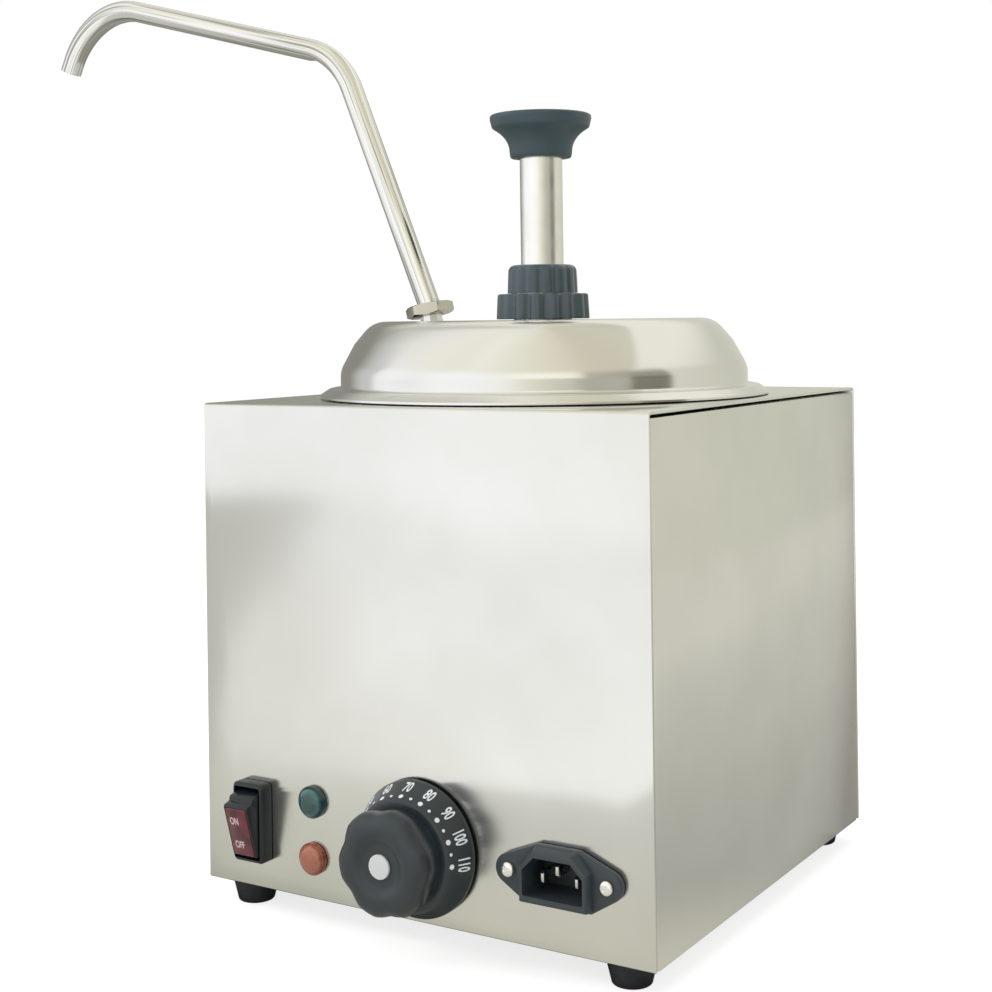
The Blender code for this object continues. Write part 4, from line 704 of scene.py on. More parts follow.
def walled(outline, wall):
    """An open (radius, height) outline that runs inwards, closed by itself set in by the wall."""
    inner = []
    for index, point in enumerate(outline):
        here = Vector(point)
        runs = []
        if index > 0:
            runs.append((here - Vector(outline[index - 1])).normalized())
        if index < len(outline) - 1:
            runs.append((Vector(outline[index + 1]) - here).normalized())
        normals = [Vector((-run.y, run.x)) for run in runs]
        mitre = (normals[0] + normals[-1]) / (1 + normals[0].dot(normals[-1]))
        inner.append(tuple(here + mitre * wall))
    return outline + list(reversed(inner))


lid_low, lid_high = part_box("lid")
lid_top = lid_high[2]
lip_radius = lid_high[0]
flange_top = lid_top - flange_depth
dome_foot = flange_top + flange_slope
lid_corners = [
    (lid_hole_radius, lid_top, 0), (crown_radius, lid_top, crown_bend),
    (shoulder_radius, dome_foot + shoulder_rise, 0), (dome_radius, dome_foot + dome_straight, knee_bend),
    (dome_radius, dome_foot, foot_bend), (flange_edge, flange_top, flange_bend),
    (lip_radius, lid_low[2] + lip_height, lip_bend), (lip_radius, lid_low[2] - lip_drop, 0),
    (lid_hole_radius, lid_low[2] - lip_drop, 0)]
lid_face = list(reversed(rounded_outline(lid_corners, 7)[:-1]))
lid = spun("spun_lid", walled(lid_face, lid_wall), spun_steel, 160)
fitted(lid, "lid", "polished_steel", "lid")


# Pump collars
# A scalloped lock nut holds the pump in the lid and a ribbed cap closes it. Both are moulded in
# slate grey polypropylene: satin, with a soft shine on the crests and a fine orange-peel grain.
nut_radius = 20.0 * mm
nut_lobes = 16
nut_lobe_depth = 1.7 * mm
nut_lobe_sharpness = 1.6
nut_chamfer = 0.9 * mm
nut_flare = 0.5 * mm
cap_ribs = 14
cap_rib_depth = 0.75 * mm
cap_rib_sharpness = 2.5
cap_foot_radius = 15.0 * mm
cap_head_radius = 14.6 * mm
cap_round = 2.8 * mm
cap_drop = 1.0 * mm
cap_bore = 9.4 * mm


def coated(shader, weight, roughness):
    """A thin clear shine over a material."""
    shader.inputs["Coat Weight"].default_value = weight
    shader.inputs["Coat Roughness"].default_value = roughness


slate, tree, shader = finish("moulded_polypropylene_slate", "#34464D", 0.36, ior=1.49)
slate_grain = noise(tree, (0.45, 0.45, 0.45), 3.0)
slate_clouds = noise(tree, (9.0, 9.0, 6.0), 2.0)
toned(tree, shader, slate_clouds, "#32444C", "#3A4B51")
tree.links.new(spread(tree, slate_clouds, 0.24, 0.36), shader.inputs["Roughness"])
coated(shader, 0.5, 0.18)
bumped(tree, shader, ((slate_grain, 0.012),))


def lofted(name, rings, material, place=None, sharp=35.0, hollow=False):
    """Rings of as many points each, skinned in turn, with closed ends or the last joined to the first."""
    bm = bmesh.new()
    loops = [[bm.verts.new(point) for point in ring] for ring in rings]
    pairs = list(zip(loops, loops[1:]))
    if hollow:
        pairs.append((loops[-1], loops[0]))
    for lower, upper in pairs:
        for i in range(len(lower)):
            bm.faces.new((lower[i - 1], lower[i], upper[i], upper[i - 1]))
    if not hollow:
        bm.faces.new(list(reversed(loops[0])))
        bm.faces.new(loops[-1])
    return shaped(name, bm, material, sharp, place)


def scalloped(radius, height, lobes, depth, sharpness=1.0, steps=12):
    """A ring of points with round crests and narrower valleys between them."""
    ring = []
    for i in range(lobes * steps):
        angle = 2 * pi * i / (lobes * steps)
        valley = (0.5 - 0.5 * cos(lobes * angle)) ** sharpness
        ring.append(((radius - depth * valley) * cos(angle), (radius - depth * valley) * sin(angle), height))
    return ring


nut_low, nut_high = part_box("pump_lock_nut")
nut_base, nut_head = nut_low[2], nut_high[2]
nut_skin = [(nut_radius - nut_chamfer / 3, nut_base, 1.0), (nut_radius, nut_base + nut_chamfer / 3, 1.0),
            (nut_radius - nut_flare, nut_head - nut_chamfer, 1.0),
            (nut_radius - nut_flare - nut_chamfer / 3, nut_head - nut_chamfer / 4, 1.0),
            (nut_radius - nut_flare - nut_chamfer, nut_head, 0.8)]
lock_nut = lofted("scalloped_lock_nut", [scalloped(lid_hole_radius, nut_base, nut_lobes, 0)] + [
    scalloped(radius, height, nut_lobes, nut_lobe_depth * share, nut_lobe_sharpness)
    for radius, height, share in nut_skin] + [scalloped(lid_hole_radius, nut_head, nut_lobes, 0)], slate,
    hollow=True)
fitted(lock_nut, "lid", "slate_plastic", "pump_lock_nut")

cap_low, cap_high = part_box("pump_cap")
cap_base, cap_head = cap_low[2], cap_high[2] - cap_drop
cap_skin = [(cap_foot_radius, cap_base, 1.0), (cap_head_radius, cap_head - cap_round, 1.0)]
for step in range(1, 6):
    angle = pi / 2 * step / 5
    cap_skin.append((cap_head_radius - cap_round * (1 - cos(angle)), cap_head - cap_round * (1 - sin(angle)),
                     1.0 - step / 5))
pump_cap = lofted("ribbed_pump_cap", [
    scalloped(lid_hole_radius, cap_base, cap_ribs, 0)] + [
    scalloped(radius, height, cap_ribs, cap_rib_depth * share, cap_rib_sharpness)
    for radius, height, share in cap_skin] + [
    scalloped(cap_bore, cap_head, cap_ribs, 0), scalloped(cap_bore, cap_head - cap_round, cap_ribs, 0),
    scalloped(lid_hole_radius, cap_head - 1.3 * cap_round, cap_ribs, 0)], slate, hollow=True)
fitted(pump_cap, "lid", "slate_plastic", "pump_cap")


# Plunger and push knob
# A polished stainless tube slides in the cap and carries a flared knob in the same slate plastic.
# The palm has worn the knob's rim a little glossier than its neck.
plunger_radius = 9.1 * mm
plunger_wall = 1.2 * mm
knob_socket_radius = 9.4 * mm
knob_socket_depth = 9.0 * mm
knob_drop = 1.3 * mm

# Fine lengthwise scratches blur what the tube mirrors round it, and handling has left it cloudy.
drawn_tube, tree, shader = finish("drawn_stainless_tube", "#F3F3F1", 0.24, metallic=1.0)
brushed(tree, shader, 0.70)
tube_streaks = noise(tree, (0.9, 0.9, 45.0), 3.0)
tube_clouds = noise(tree, (7.0, 7.0, 12.0), 1.0)
tree.links.new(spread(tree, tube_clouds, 0.16, 0.30), shader.inputs["Roughness"])
bumped(tree, shader, ((tube_streaks, 0.008), (tube_clouds, 0.12)))

tube_low, tube_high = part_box("plunger_tube")
plunger = spun("polished_plunger_tube", [
    (plunger_radius - plunger_wall, tube_low[2]), (plunger_radius, tube_low[2]),
    (plunger_radius, tube_high[2]), (plunger_radius - plunger_wall, tube_high[2])], drawn_tube, 64)
fitted(plunger, "plunger", "polished_steel", "plunger_tube")

push_slate, tree, shader = finish("worn_polypropylene_slate", "#34464D", 0.40, ior=1.49)
push_grain = noise(tree, (0.45, 0.45, 0.45), 3.0)
wear_height = add_node(tree, "SeparateXYZ", None, {0: add_node(tree, "TexCoord").outputs["Object"]})
knob_low, knob_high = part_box("push_knob")
knob_base, knob_head = knob_low[2] - knob_drop, knob_high[2] - knob_drop
worn = add_node(tree, "MapRange", eased,
                {0: wear_height.outputs["Z"], 1: knob_head - 7 * mm, 2: knob_head - 1 * mm, 3: 0.44, 4: 0.33})
tree.links.new(worn.outputs[0], shader.inputs["Roughness"])
toned(tree, shader, noise(tree, (11.0, 11.0, 9.0), 2.0), "#32444B", "#394A50")
bumped(tree, shader, ((push_grain, 0.012),))

knob_height = knob_head - knob_base
knob_shares = ((0.000, 12.6), (0.020, 13.0), (0.09, 13.28), (0.237, 13.53), (0.328, 14.04), (0.375, 14.45),
               (0.42, 14.96), (0.465, 15.55), (0.51, 16.24), (0.555, 17.12), (0.60, 18.12), (0.65, 19.5),
               (0.675, 20.25), (0.694, 20.69), (0.715, 20.90), (0.742, 21.04), (0.79, 21.25), (0.833, 21.44),
               (0.88, 21.68), (0.925, 21.68), (0.955, 21.55), (0.973, 21.30), (0.985, 20.85), (0.993, 19.8),
               (0.997, 12.0), (1.0, 0.0))
knob_outline = [(knob_socket_radius, knob_base)]
knob_outline += [(radius * mm, knob_base + knob_height * share) for share, radius in knob_shares]
knob_outline += [(0, knob_base + knob_socket_depth), (knob_socket_radius, knob_base + knob_socket_depth)]
push_knob = spun("flared_push_knob", knob_outline, push_slate, 96, sharp=50.0)
fitted(push_knob, "plunger", "slate_plastic", "push_knob")

recoat(plated, "intake_ball", "ball_stop_pin")
spring_wire, tree, shader = finish("drawn_spring_wire", "#BDBBB4", 0.24, metallic=1.0)
bumped(tree, shader, ((noise(tree, (0.3, 0.3, 0.3)), 0.004),))

# The spring has closed end turns; the real one shortens as the plunger goes down its 40 mm stroke.
spring_wire_radius = 0.7 * mm
spring_turns = 6
spring_steps = 24
closed_share = 0.06
spring_low, spring_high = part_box("return_spring")
spring_length = spring_high[2] - spring_low[2]
spring_radius = (spring_high[0] - spring_low[0]) / 2 - spring_wire_radius
spring_rings = []
for step in range(spring_turns * spring_steps + 1):
    share = step / (spring_turns * spring_steps)
    turn = Matrix.Rotation(2 * pi * spring_turns * share, 4, "Z")
    rise = min(max((share - closed_share) / (1 - 2 * closed_share), 0.0), 1.0)
    level = spring_low[2] + spring_wire_radius + (spring_length - 2 * spring_wire_radius) * rise
    spring_rings.append([tuple((turn @ Vector((spring_radius + out, 0.0, level + up)))[:3])
                         for out, up in ring_points(spring_wire_radius, 8)])
spring = lofted("coiled_return_spring", spring_rings, spring_wire, sharp=70.0)
fitted(spring, "lid", "plated_steel", "return_spring")
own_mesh(spring)

acetal, tree, shader = finish("machined_acetal", "#E6E5E0", 0.38, ior=1.48)
bumped(tree, shader, ((noise(tree, (20.0, 20.0, 0.3)), 0.004),))
recoat(acetal, "piston")


# Spout
# A 10 mm stainless tube bent cold on a mandrel, so it is a little flat inside the knee. It was
# polished lengthwise, and a turned and milled nut with chamfered corners locks it to the lid.
tube_radius = 5.0 * mm
tube_bore = 4.0 * mm
spout_lean = radians(12.0)
nut_corner_radius = 10.85 * mm
nut_turn = radians(23.0)
nut_height = 4.8 * mm
nut_corner_chamfer = 0.6 * mm
nut_face_radius = nut_corner_radius - 1.3 * mm
nut_bore_radius = 5.4 * mm
knee_corner = Vector((-106.5 * mm, 347.0 * mm))
upper_rise = radians(15.1)
upper_run = 164.0 * mm
tip_lean = radians(25.1)
tip_run = 38.2 * mm
knee_bend_radius = 36.0 * mm
crook_bend_radius = 40.0 * mm
spout_stub = 3.0 * mm
spout_stub_bend = 10.0 * mm
half_seat = 0.15 * mm
knee_flat = 1.4 * mm
crook_swelling = 0.16
tip_swelling = 0.08
tube_sides = 40

spout_axis = Vector((-sin(spout_lean), cos(spout_lean)))
nut_lift = 0.3 * mm + nut_height / 2 * cos(spout_lean) + nut_corner_radius * sin(spout_lean)
spout_low, spout_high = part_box("spout_nut")
nut_centre = Vector(((spout_low[0] + spout_high[0]) / 2, lid_top + nut_lift))


def spout_route(corners, steps):
    """Open (x, z, radius) corners as points, each with its corner's number and its share of that bend."""
    route = []
    for index, (x, z, radius) in enumerate(corners):
        here = Vector((x, z))
        if radius <= 0:
            route.append((here, float(index)))
            continue
        bend = arc(corners[index - 1], here, corners[index + 1], radius, steps)
        route += [(point, index + step / steps) for step, point in enumerate(bend)]
    return route


spout_start = nut_centre + spout_axis * half_seat
stub_end = spout_start + spout_axis * spout_stub
crook_corner = knee_corner + Vector((-cos(upper_rise), sin(upper_rise))) * upper_run
tip = crook_corner + Vector((-sin(tip_lean), -cos(tip_lean))) * tip_run
route = spout_route([(*spout_start, 0), (*stub_end, spout_stub_bend), (*knee_corner, knee_bend_radius),
                     (*crook_corner, crook_bend_radius), (*tip, 0)], 28)
outer_rings = []
inner_rings = []
for index, (point, bend) in enumerate(route):
    before = route[max(index - 1, 0)][0]
    after = route[min(index + 1, len(route) - 1)][0]
    along = (after - before).normalized()
    across = Vector((along.y, -along.x))
    flat = knee_flat * min(1.0, 6 * (bend - 2), 6 * (3 - bend)) if 2 < bend < 3 else 0.0
    swelling = 1.0
    if 3 <= bend < 4:
        swelling += crook_swelling * sin(pi * (bend - 3)) + tip_swelling * (bend - 3)
    elif bend >= 4:
        swelling += tip_swelling
    outer = []
    inner = []
    for i in range(tube_sides):
        angle = 2 * pi * i / tube_sides
        for ring, radius in ((outer, tube_radius), (inner, tube_bore)):
            offset = across * max(radius * swelling * cos(angle), flat - radius)
            ring.append((point.x + offset.x, radius * sin(angle), point.y + offset.y))
    outer_rings.append(outer)
    inner_rings.append(inner)
# Fine drawing lines and painted dark reflection streaks run along the tube, so each point carries its place round
# the tube and along it.
drawn_spout, tree, shader = finish("drawn_spout_tube_painted_reflections", "#E4E4E2", 0.15, metallic=1.0)
place = add_node(tree, "Attribute", {"attribute_name": "tube_place"}).outputs["Vector"]
streak_place = add_node(tree, "Mapping", None, {"Vector": place, "Scale": (1.0, 1.0, 0.010)})
drawing_lines_and_painted_reflections = add_node(tree, "TexNoise", None,
                      {"Vector": streak_place.outputs[0], "Scale": 1000.0 / 1.1, "Detail": 2.0})
# Painted reflections: the dark end of this tone stands for dark things mirrored in streaks along the tube. The
# same noise also gives the drawing lines' roughness and bumps.
painted_reflection_tone = add_node(tree, "ValToRGB", None, {0: drawing_lines_and_painted_reflections.outputs["Fac"]})
fill_ramp(painted_reflection_tone, ((0.0, "#7E7C74"), (0.36, "#A3A19A"), (0.45, "#E0E0DC"), (0.55, "#F0F0EE"),
                      (1.0, "#F3F3F3")))
tree.links.new(painted_reflection_tone.outputs[0], shader.inputs["Base Color"])
tree.links.new(spread(tree, drawing_lines_and_painted_reflections.outputs["Fac"], 0.20, 0.11), shader.inputs["Roughness"])
bumped(tree, shader, ((drawing_lines_and_painted_reflections.outputs["Fac"], 0.010),))
spout = lofted("bent_spout_tube", outer_rings + list(reversed(inner_rings)), drawn_spout, sharp=60.0,
               hollow=True)
lengths = [0.0]
for (before, _), (after, _) in zip(route, route[1:]):
    lengths.append(lengths[-1] + (after - before).length)
tube_place = spout.data.attributes.new("tube_place", "FLOAT_VECTOR", "POINT")
for index, vertex in enumerate(spout.data.vertices):
    flat_place = Vector((vertex.co.x, vertex.co.z))
    nearest = min(range(len(route)), key=lambda i: (route[i][0] - flat_place).length_squared)
    before, after = route[max(nearest - 1, 0)][0], route[min(nearest + 1, len(route) - 1)][0]
    along = (after - before).normalized()
    outwards = (flat_place - route[nearest][0]).dot(Vector((along.y, -along.x)))
    tube_place.data[index].vector = (outwards, vertex.co.y, lengths[nearest])
fitted(spout, "lid", "polished_steel", "spout_tube")
recoat(polished, "discharge_tube")

turned_steel, tree, shader = finish("milled_stainless", "#C9C6BC", 0.24, metallic=1.0)
milling = noise(tree, (0.3, 6.0, 6.0), 2.0)
tree.links.new(spread(tree, milling, 0.20, 0.30), shader.inputs["Roughness"])
bumped(tree, shader, ((milling, 0.006),))
hexagon = [(nut_corner_radius * cos(nut_turn + pi * i / 3), nut_corner_radius * sin(nut_turn + pi * i / 3))
           for i in range(6)]
leaning = Matrix.Translation((nut_centre.x, 0, nut_centre.y)) @ Matrix.Rotation(-spout_lean, 4, "Y")
spout_nut = prism("hexagon_spout_nut", hexagon, -nut_height / 2, nut_height / 2, turned_steel, 0.0, leaning)
turning_cone = spun("nut_turning", [
    (0, -nut_height / 2), (nut_face_radius, -nut_height / 2),
    (nut_corner_radius, -nut_height / 2 + nut_corner_chamfer),
    (nut_corner_radius, nut_height / 2 - nut_corner_chamfer), (nut_face_radius, nut_height / 2),
    (0, nut_height / 2)], turned_steel, 72, leaning)
cut(spout_nut, turning_cone, "INTERSECT")
bore(spout_nut, ring_points(nut_bore_radius, 40), -nut_height, nut_height, leaning)
fitted(spout_nut, "lid", "plated_steel", "spout_nut")


# Rocker switch
# A deep collar and a rocker moulded in black nylon: satin, with softly rounded edges. The rocker
# holds a clear red polycarbonate lens over a dark inside, printed with ON and OFF.
collar_half_x = 7.8 * mm
collar_half_z = 15.6 * mm
collar_proud = 6.3 * mm
collar_chamfer = 1.2 * mm
collar_corner = 2.0 * mm
mouth_half_x = 6.3 * mm
mouth_half_z = 14.1 * mm
mouth_depth = 12.0 * mm
pivot_proud = 1.8 * mm
rocker_tilt = radians(16.0)
rocker_half_x = 6.0 * mm
rocker_face = 8.9 * mm
rocker_face_half = 11.2 * mm
rocker_shoulder = 4.5 * mm
rocker_shoulder_half = 12.8 * mm
rocker_tail = 4.0 * mm
rocker_edge = 0.45 * mm
lens_margin = 0.9 * mm
lens_depth = 2.4 * mm
lens_proud = 0.3 * mm
letter_height = 3.0 * mm

nylon, tree, shader = finish("moulded_nylon_black", "#151C21", 0.34, ior=1.53)
nylon_grain = noise(tree, (0.35, 0.35, 0.35), 3.0)
tree.links.new(spread(tree, noise(tree, (5.0, 5.0, 5.0), 2.0), 0.29, 0.40), shader.inputs["Roughness"])
bumped(tree, shader, ((nylon_grain, 0.008),))


def at_height(outline, height):
    return [(x, y, height) for x, y in outline]


def oblong_rings(profile, half_x, half_y, corner):
    """Oblong rings for a profile of (set in, height)."""
    return [at_height(oblong(half_x - inset, half_y - inset, max(corner - inset / 2, 0.15 * mm)), height)
            for inset, height in profile]


front_seat = 0.3 * mm
rear_half_x = 7.0 * mm
rear_half_z = 14.8 * mm
switch_depth = 24.0 * mm
chamfer_foot = collar_proud - collar_chamfer
rear_outline = oblong(rear_half_x, rear_half_z, 0.3 * mm)
mouth_outline = oblong(mouth_half_x, mouth_half_z, 0.3 * mm)
collar_rings = [at_height(rear_outline, -switch_depth), at_height(rear_outline, front_seat)]
collar_rings += oblong_rings(
    ((0.0, front_seat), (0.0, chamfer_foot - 0.25 * mm), (0.1 * mm, chamfer_foot),
     (collar_chamfer - 0.3 * mm, collar_proud - 0.3 * mm),
     (collar_chamfer - 0.1 * mm, collar_proud - 0.05 * mm),
     (collar_chamfer + 0.05 * mm, collar_proud)), collar_half_x, collar_half_z, collar_corner)
collar_rings += [at_height(mouth_outline, collar_proud - 0.1 * mm), at_height(mouth_outline, -mouth_depth)]
collar = lofted("switch_collar", collar_rings, nylon, on_panel(switch_x, switch_z))
fitted(collar, "housing", "black_plastic", "switch_housing")

rocker_outline = rounded_outline([
    (-rocker_shoulder_half, -rocker_tail / 2, 0.5 * mm), (-rocker_face_half / 2, -rocker_tail, 0.5 * mm),
    (rocker_face_half / 2, -rocker_tail, 0.5 * mm), (rocker_shoulder_half, -rocker_tail / 2, 0.5 * mm),
    (rocker_shoulder_half, rocker_shoulder, 1.1 * mm),
    (rocker_face_half, rocker_shoulder + 0.7 * mm, 0.6 * mm), (rocker_face_half, rocker_face, 1.2 * mm),
    (-rocker_face_half, rocker_face, 1.2 * mm), (-rocker_face_half, rocker_shoulder + 0.7 * mm, 0.6 * mm),
    (-rocker_shoulder_half, rocker_shoulder, 1.1 * mm)], 6)
tipped = on_panel(switch_x, switch_z, pivot_proud, rocker_tilt)
on_side = Matrix(((0, 0, 1, 0), (1, 0, 0, 0), (0, 1, 0, 0), (0, 0, 0, 1)))
rocker = prism("switch_rocker", rocker_outline, -rocker_half_x, rocker_half_x, nylon, rocker_edge,
               tipped @ on_side)
pocket_half_x = rocker_half_x - lens_margin + 0.15 * mm
pocket_half_z = rocker_face_half - lens_margin + 0.15 * mm
bore(rocker, oblong(pocket_half_x, pocket_half_z, 0.7 * mm), rocker_face - lens_depth,
     rocker_face + 2 * mm, tipped)
fitted(rocker, "rocker", "black_plastic", "rocker")

red_lens, tree, shader = finish("polycarbonate_red", "#6C2032", 0.20, ior=1.585)
coated(shader, 0.3, 0.08)
toned(tree, shader, noise(tree, (6.0, 6.0, 5.0), 1.0), "#742036", "#44101D")
lens_half_x = rocker_half_x - lens_margin
lens_half_z = rocker_face_half - lens_margin
rocker_lens = lofted("switch_lens", oblong_rings(
    ((0.0, rocker_face - lens_depth + 0.1 * mm), (0.0, rocker_face - 0.1 * mm),
     (0.12 * mm, rocker_face + 0.15 * mm), (0.4 * mm, rocker_face + lens_proud)),
    lens_half_x, lens_half_z, 0.8 * mm), red_lens, tipped)
fitted(rocker_lens, "rocker", "red_lens", "rocker_lens")

switch_ink, tree, shader = finish("pad_print_rose_white", "#D9C3C6", 0.45)
toned(tree, shader, noise(tree, (0.6, 0.6, 0.6), 3.0), "#E2CFD1", "#C2A4A9")


def lettering(name, words, height, material, condense=1.0, embolden=0.0, thickness=0.05 * mm):
    """Flat printed words as a mesh, centred on their place, with their tops along local Y."""
    curve = bpy.data.curves.new(name, "FONT")
    curve.body = words
    curve.align_x = "CENTER"
    curve.align_y = "CENTER"
    curve.size = height / 0.70
    curve.offset = embolden
    curve.extrude = thickness / 2
    curve.resolution_u = 4
    holder = bpy.data.objects.new(name, curve)
    bpy.context.scene.collection.objects.link(holder)
    evaluated = holder.evaluated_get(bpy.context.evaluated_depsgraph_get())
    mesh = bpy.data.meshes.new_from_object(evaluated)
    bpy.data.objects.remove(holder, do_unlink=True)
    ys = [v.co.y for v in mesh.vertices]
    xs = [v.co.x for v in mesh.vertices]
    middle_x = (min(xs) + max(xs)) / 2
    middle_y = (min(ys) + max(ys)) / 2
    for v in mesh.vertices:
        v.co.x = (v.co.x - middle_x) * condense
        v.co.y -= middle_y
    mesh.materials.clear()
    mesh.materials.append(material)
    piece = bpy.data.objects.new(name, mesh)
    bpy.context.scene.collection.objects.link(piece)
    return piece


for words, across, up, condense in (("ON", -1.5 * mm, 4.9 * mm, 0.64), ("OFF", -1.0 * mm, -5.4 * mm, 0.62)):
    mark = lettering("switch_mark_" + words.lower(), words, letter_height, switch_ink, condense, 0.08 * mm)
    mark.data.transform(tipped @ Matrix.Translation((across, up, rocker_face + lens_proud + 0.02 * mm)))
    fitted(mark, "rocker", "red_lens")


# Indicator lamps
# Two neon lamps with domed lenses in coloured polycarbonate. Behind the smooth outside the lens
# is moulded with rings and facets, whose light and shade are painted into it as a lighter ring and a dark rim.
lens_radius = 6.3 * mm
lens_dome_radius = 5.3 * mm
lens_rim_height = 1.7 * mm
lens_height = 4.0 * mm
lens_rim_round = 0.3 * mm
lens_groove = 0.2 * mm
dome_fullness = 0.6
facet_size = 1.6 * mm
facet_strength = 0.25

for colour, dark, middle_hex, light in (("green", "#1E3A3A", "#174645", "#3A706E"),
                                        ("orange", "#8E4530", "#A8624C", "#BE765A")):
    lamp_x, lamp_z = front_place("lamp_" + colour + "_lens")
    glass, tree, shader = finish("polycarbonate_" + colour, middle_hex, 0.14, ior=1.585)
    coated(shader, 0.5, 0.05)
    spot = add_node(tree, "SeparateXYZ", None, {0: add_node(tree, "TexCoord").outputs["Object"]})
    across = add_node(tree, "Math", {"operation": "SUBTRACT"}, {0: spot.outputs["X"], 1: lamp_x})
    upwards = add_node(tree, "Math", {"operation": "SUBTRACT"}, {0: spot.outputs["Z"], 1: lamp_z})
    flat = add_node(tree, "CombineXYZ", None, {"X": across.outputs[0], "Y": upwards.outputs[0]})
    out = add_node(tree, "VectorMath", {"operation": "LENGTH"}, {0: flat.outputs[0]})
    rim_place = add_node(tree, "MapRange", None, {0: out.outputs["Value"], 1: 0.0, 2: lens_radius})
    # Painted light and shade: a lighter ring inside the lens and a dark rim round its edge.
    tone = add_node(tree, "ValToRGB", None, {0: rim_place.outputs[0]})
    fill_ramp(tone, ((0.0, middle_hex), (0.55, middle_hex), (0.80, light), (0.86, middle_hex), (0.95, dark),
                     (1.0, dark)))
    facets = add_node(tree, "TexVoronoi", {"feature": "F1"},
                      {"Vector": flat.outputs[0], "Scale": 1.0 / facet_size})
    mottled = add_node(tree, "Mix", {"data_type": "RGBA", "blend_type": "MULTIPLY"},
                       {0: facet_strength, 6: tone.outputs[0], 7: facets.outputs["Distance"]})
    tree.links.new(mottled.outputs[2], shader.inputs["Base Color"])
    rim_top = front_seat + lens_rim_height
    dome = [(0, front_seat), (lens_radius, front_seat), (lens_radius, rim_top - lens_rim_round),
            (lens_radius - lens_rim_round, rim_top), (lens_dome_radius + lens_groove, rim_top - lens_groove),
            (lens_dome_radius, rim_top)]
    for step in range(1, 12):
        angle = pi / 2 * step / 12
        dome.append((lens_dome_radius * cos(angle) ** dome_fullness,
                     rim_top + (lens_height - lens_rim_height) * sin(angle)))
    dome.append((0, front_seat + lens_height))
    lamp_lens = spun("domed_lens_" + colour, dome, glass, 56, on_panel(lamp_x, lamp_z), 50.0)
    fitted(lamp_lens, "housing", colour + "_lens", "lamp_" + colour + "_lens")


# Mains inlet
# An eared inlet moulded in glass-filled nylon, a little greyer than the switch, with a chamfered
# collar round a deep socket and three flat nickel-plated pins. Two bright zinc cross screws hold it.
inlet_nylon, tree, shader = finish("glass_filled_nylon", "#30383D", 0.40, ior=1.53)
glass_grain = noise(tree, (0.5, 0.5, 0.5), 4.0)
tree.links.new(spread(tree, glass_grain, 0.36, 0.48), shader.inputs["Roughness"])
bumped(tree, shader, ((glass_grain, 0.008),))
bright_screw, tree, shader = finish("bright_zinc_screw", "#FAFAF9", 0.26, metallic=1.0)
bumped(tree, shader, ((noise(tree, (0.8, 0.8, 0.8), 2.0), 0.006),))

ear_radius = 5.6 * mm
plate_thickness = 3.4 * mm
plate_edge = 0.5 * mm
inlet_half_x = 14.8 * mm
inlet_half_z = 10.6 * mm
inlet_foot = 1.8 * mm
inlet_proud = 7.2 * mm
inlet_taper = 1.4 * mm
socket_half_x = 12.2 * mm
socket_half_z = 7.0 * mm
socket_bevel = 4.8 * mm
socket_depth = 16.2 * mm
inlet_rear_depth = 20.0 * mm
inlet_rear_inset = 1.2 * mm


def wrapped(points):
    """The tightest outline round some points."""
    points = sorted(set(points))

    def chain(ordered):
        hull = []
        for point in ordered:
            while len(hull) > 1:
                ax, ay = hull[-2]
                bx, by = hull[-1]
                if (bx - ax) * (point[1] - ay) - (by - ay) * (point[0] - ax) > 1e-12:
                    break
                hull.pop()
            hull.append(point)
        return hull[:-1]

    return chain(points) + chain(list(reversed(points)))


inlet_place = on_panel(inlet_x, inlet_z)
plate_points = socket_outline(inlet_half_x, inlet_half_z, inlet_bevel, inlet_foot, 0.8 * mm)
for sign in (-1, 1):
    plate_points += ring_points(ear_radius, 40, sign * screw_spacing / 2)
inlet = prism("eared_inlet", wrapped(plate_points), front_seat, plate_thickness, inlet_nylon, plate_edge,
              inlet_place)
collar_loft = []
for inset, height in ((0.0, plate_thickness / 2), (inlet_taper - 0.35 * mm, inlet_proud - 0.8 * mm),
                      (inlet_taper - 0.1 * mm, inlet_proud - 0.25 * mm),
                      (inlet_taper + 0.2 * mm, inlet_proud)):
    outline = socket_outline(inlet_half_x - inset, inlet_half_z - inset, inlet_bevel, inlet_foot - inset, 0.8 * mm)
    collar_loft.append(at_height(outline, height))
cut(inlet, lofted("inlet_collar", collar_loft, inlet_nylon, inlet_place), "UNION")
rear_outline = socket_outline(inlet_half_x - inlet_rear_inset, inlet_half_z - inlet_rear_inset, inlet_bevel, 0, 0)
cut(inlet, prism("inlet_rear", rear_outline, -inlet_rear_depth, plate_thickness / 2, inlet_nylon, 0.0,
                 inlet_place), "UNION")
bore(inlet, socket_outline(socket_half_x, socket_half_z, socket_bevel, 0.8 * mm, 0.4 * mm),
     inlet_proud - socket_depth, inlet_proud + 2 * mm, inlet_place)
for sign in (-1, 1):
    bore(inlet, ring_points(ear_hole_radius, 24, sign * screw_spacing / 2), -2 * mm, plate_thickness + 2 * mm,
         inlet_place)
fitted(inlet, "housing", "black_plastic", "inlet_body")

pin_half_width = 1.0 * mm
pin_half_height = 2.0 * mm
pin_edge = 0.70 * mm
pin_tail = -26.0 * mm
pin_tip = inlet_proud - 5.2 * mm
for name, x, z, extra in (("live", 7.0 * mm, -1.4 * mm, 0.0), ("earth", 0.0, 2.4 * mm, 1.5 * mm),
                          ("neutral", -7.0 * mm, -1.4 * mm, 0.0)):
    blade = [(x + across, z + up) for across, up in oblong(pin_half_width, pin_half_height)]
    pin = prism("flat_pin_" + name, blade, pin_tail, pin_tip + extra, plated, pin_edge, inlet_place)
    fitted(pin, "housing", "plated_steel", "inlet_pin_" + name)

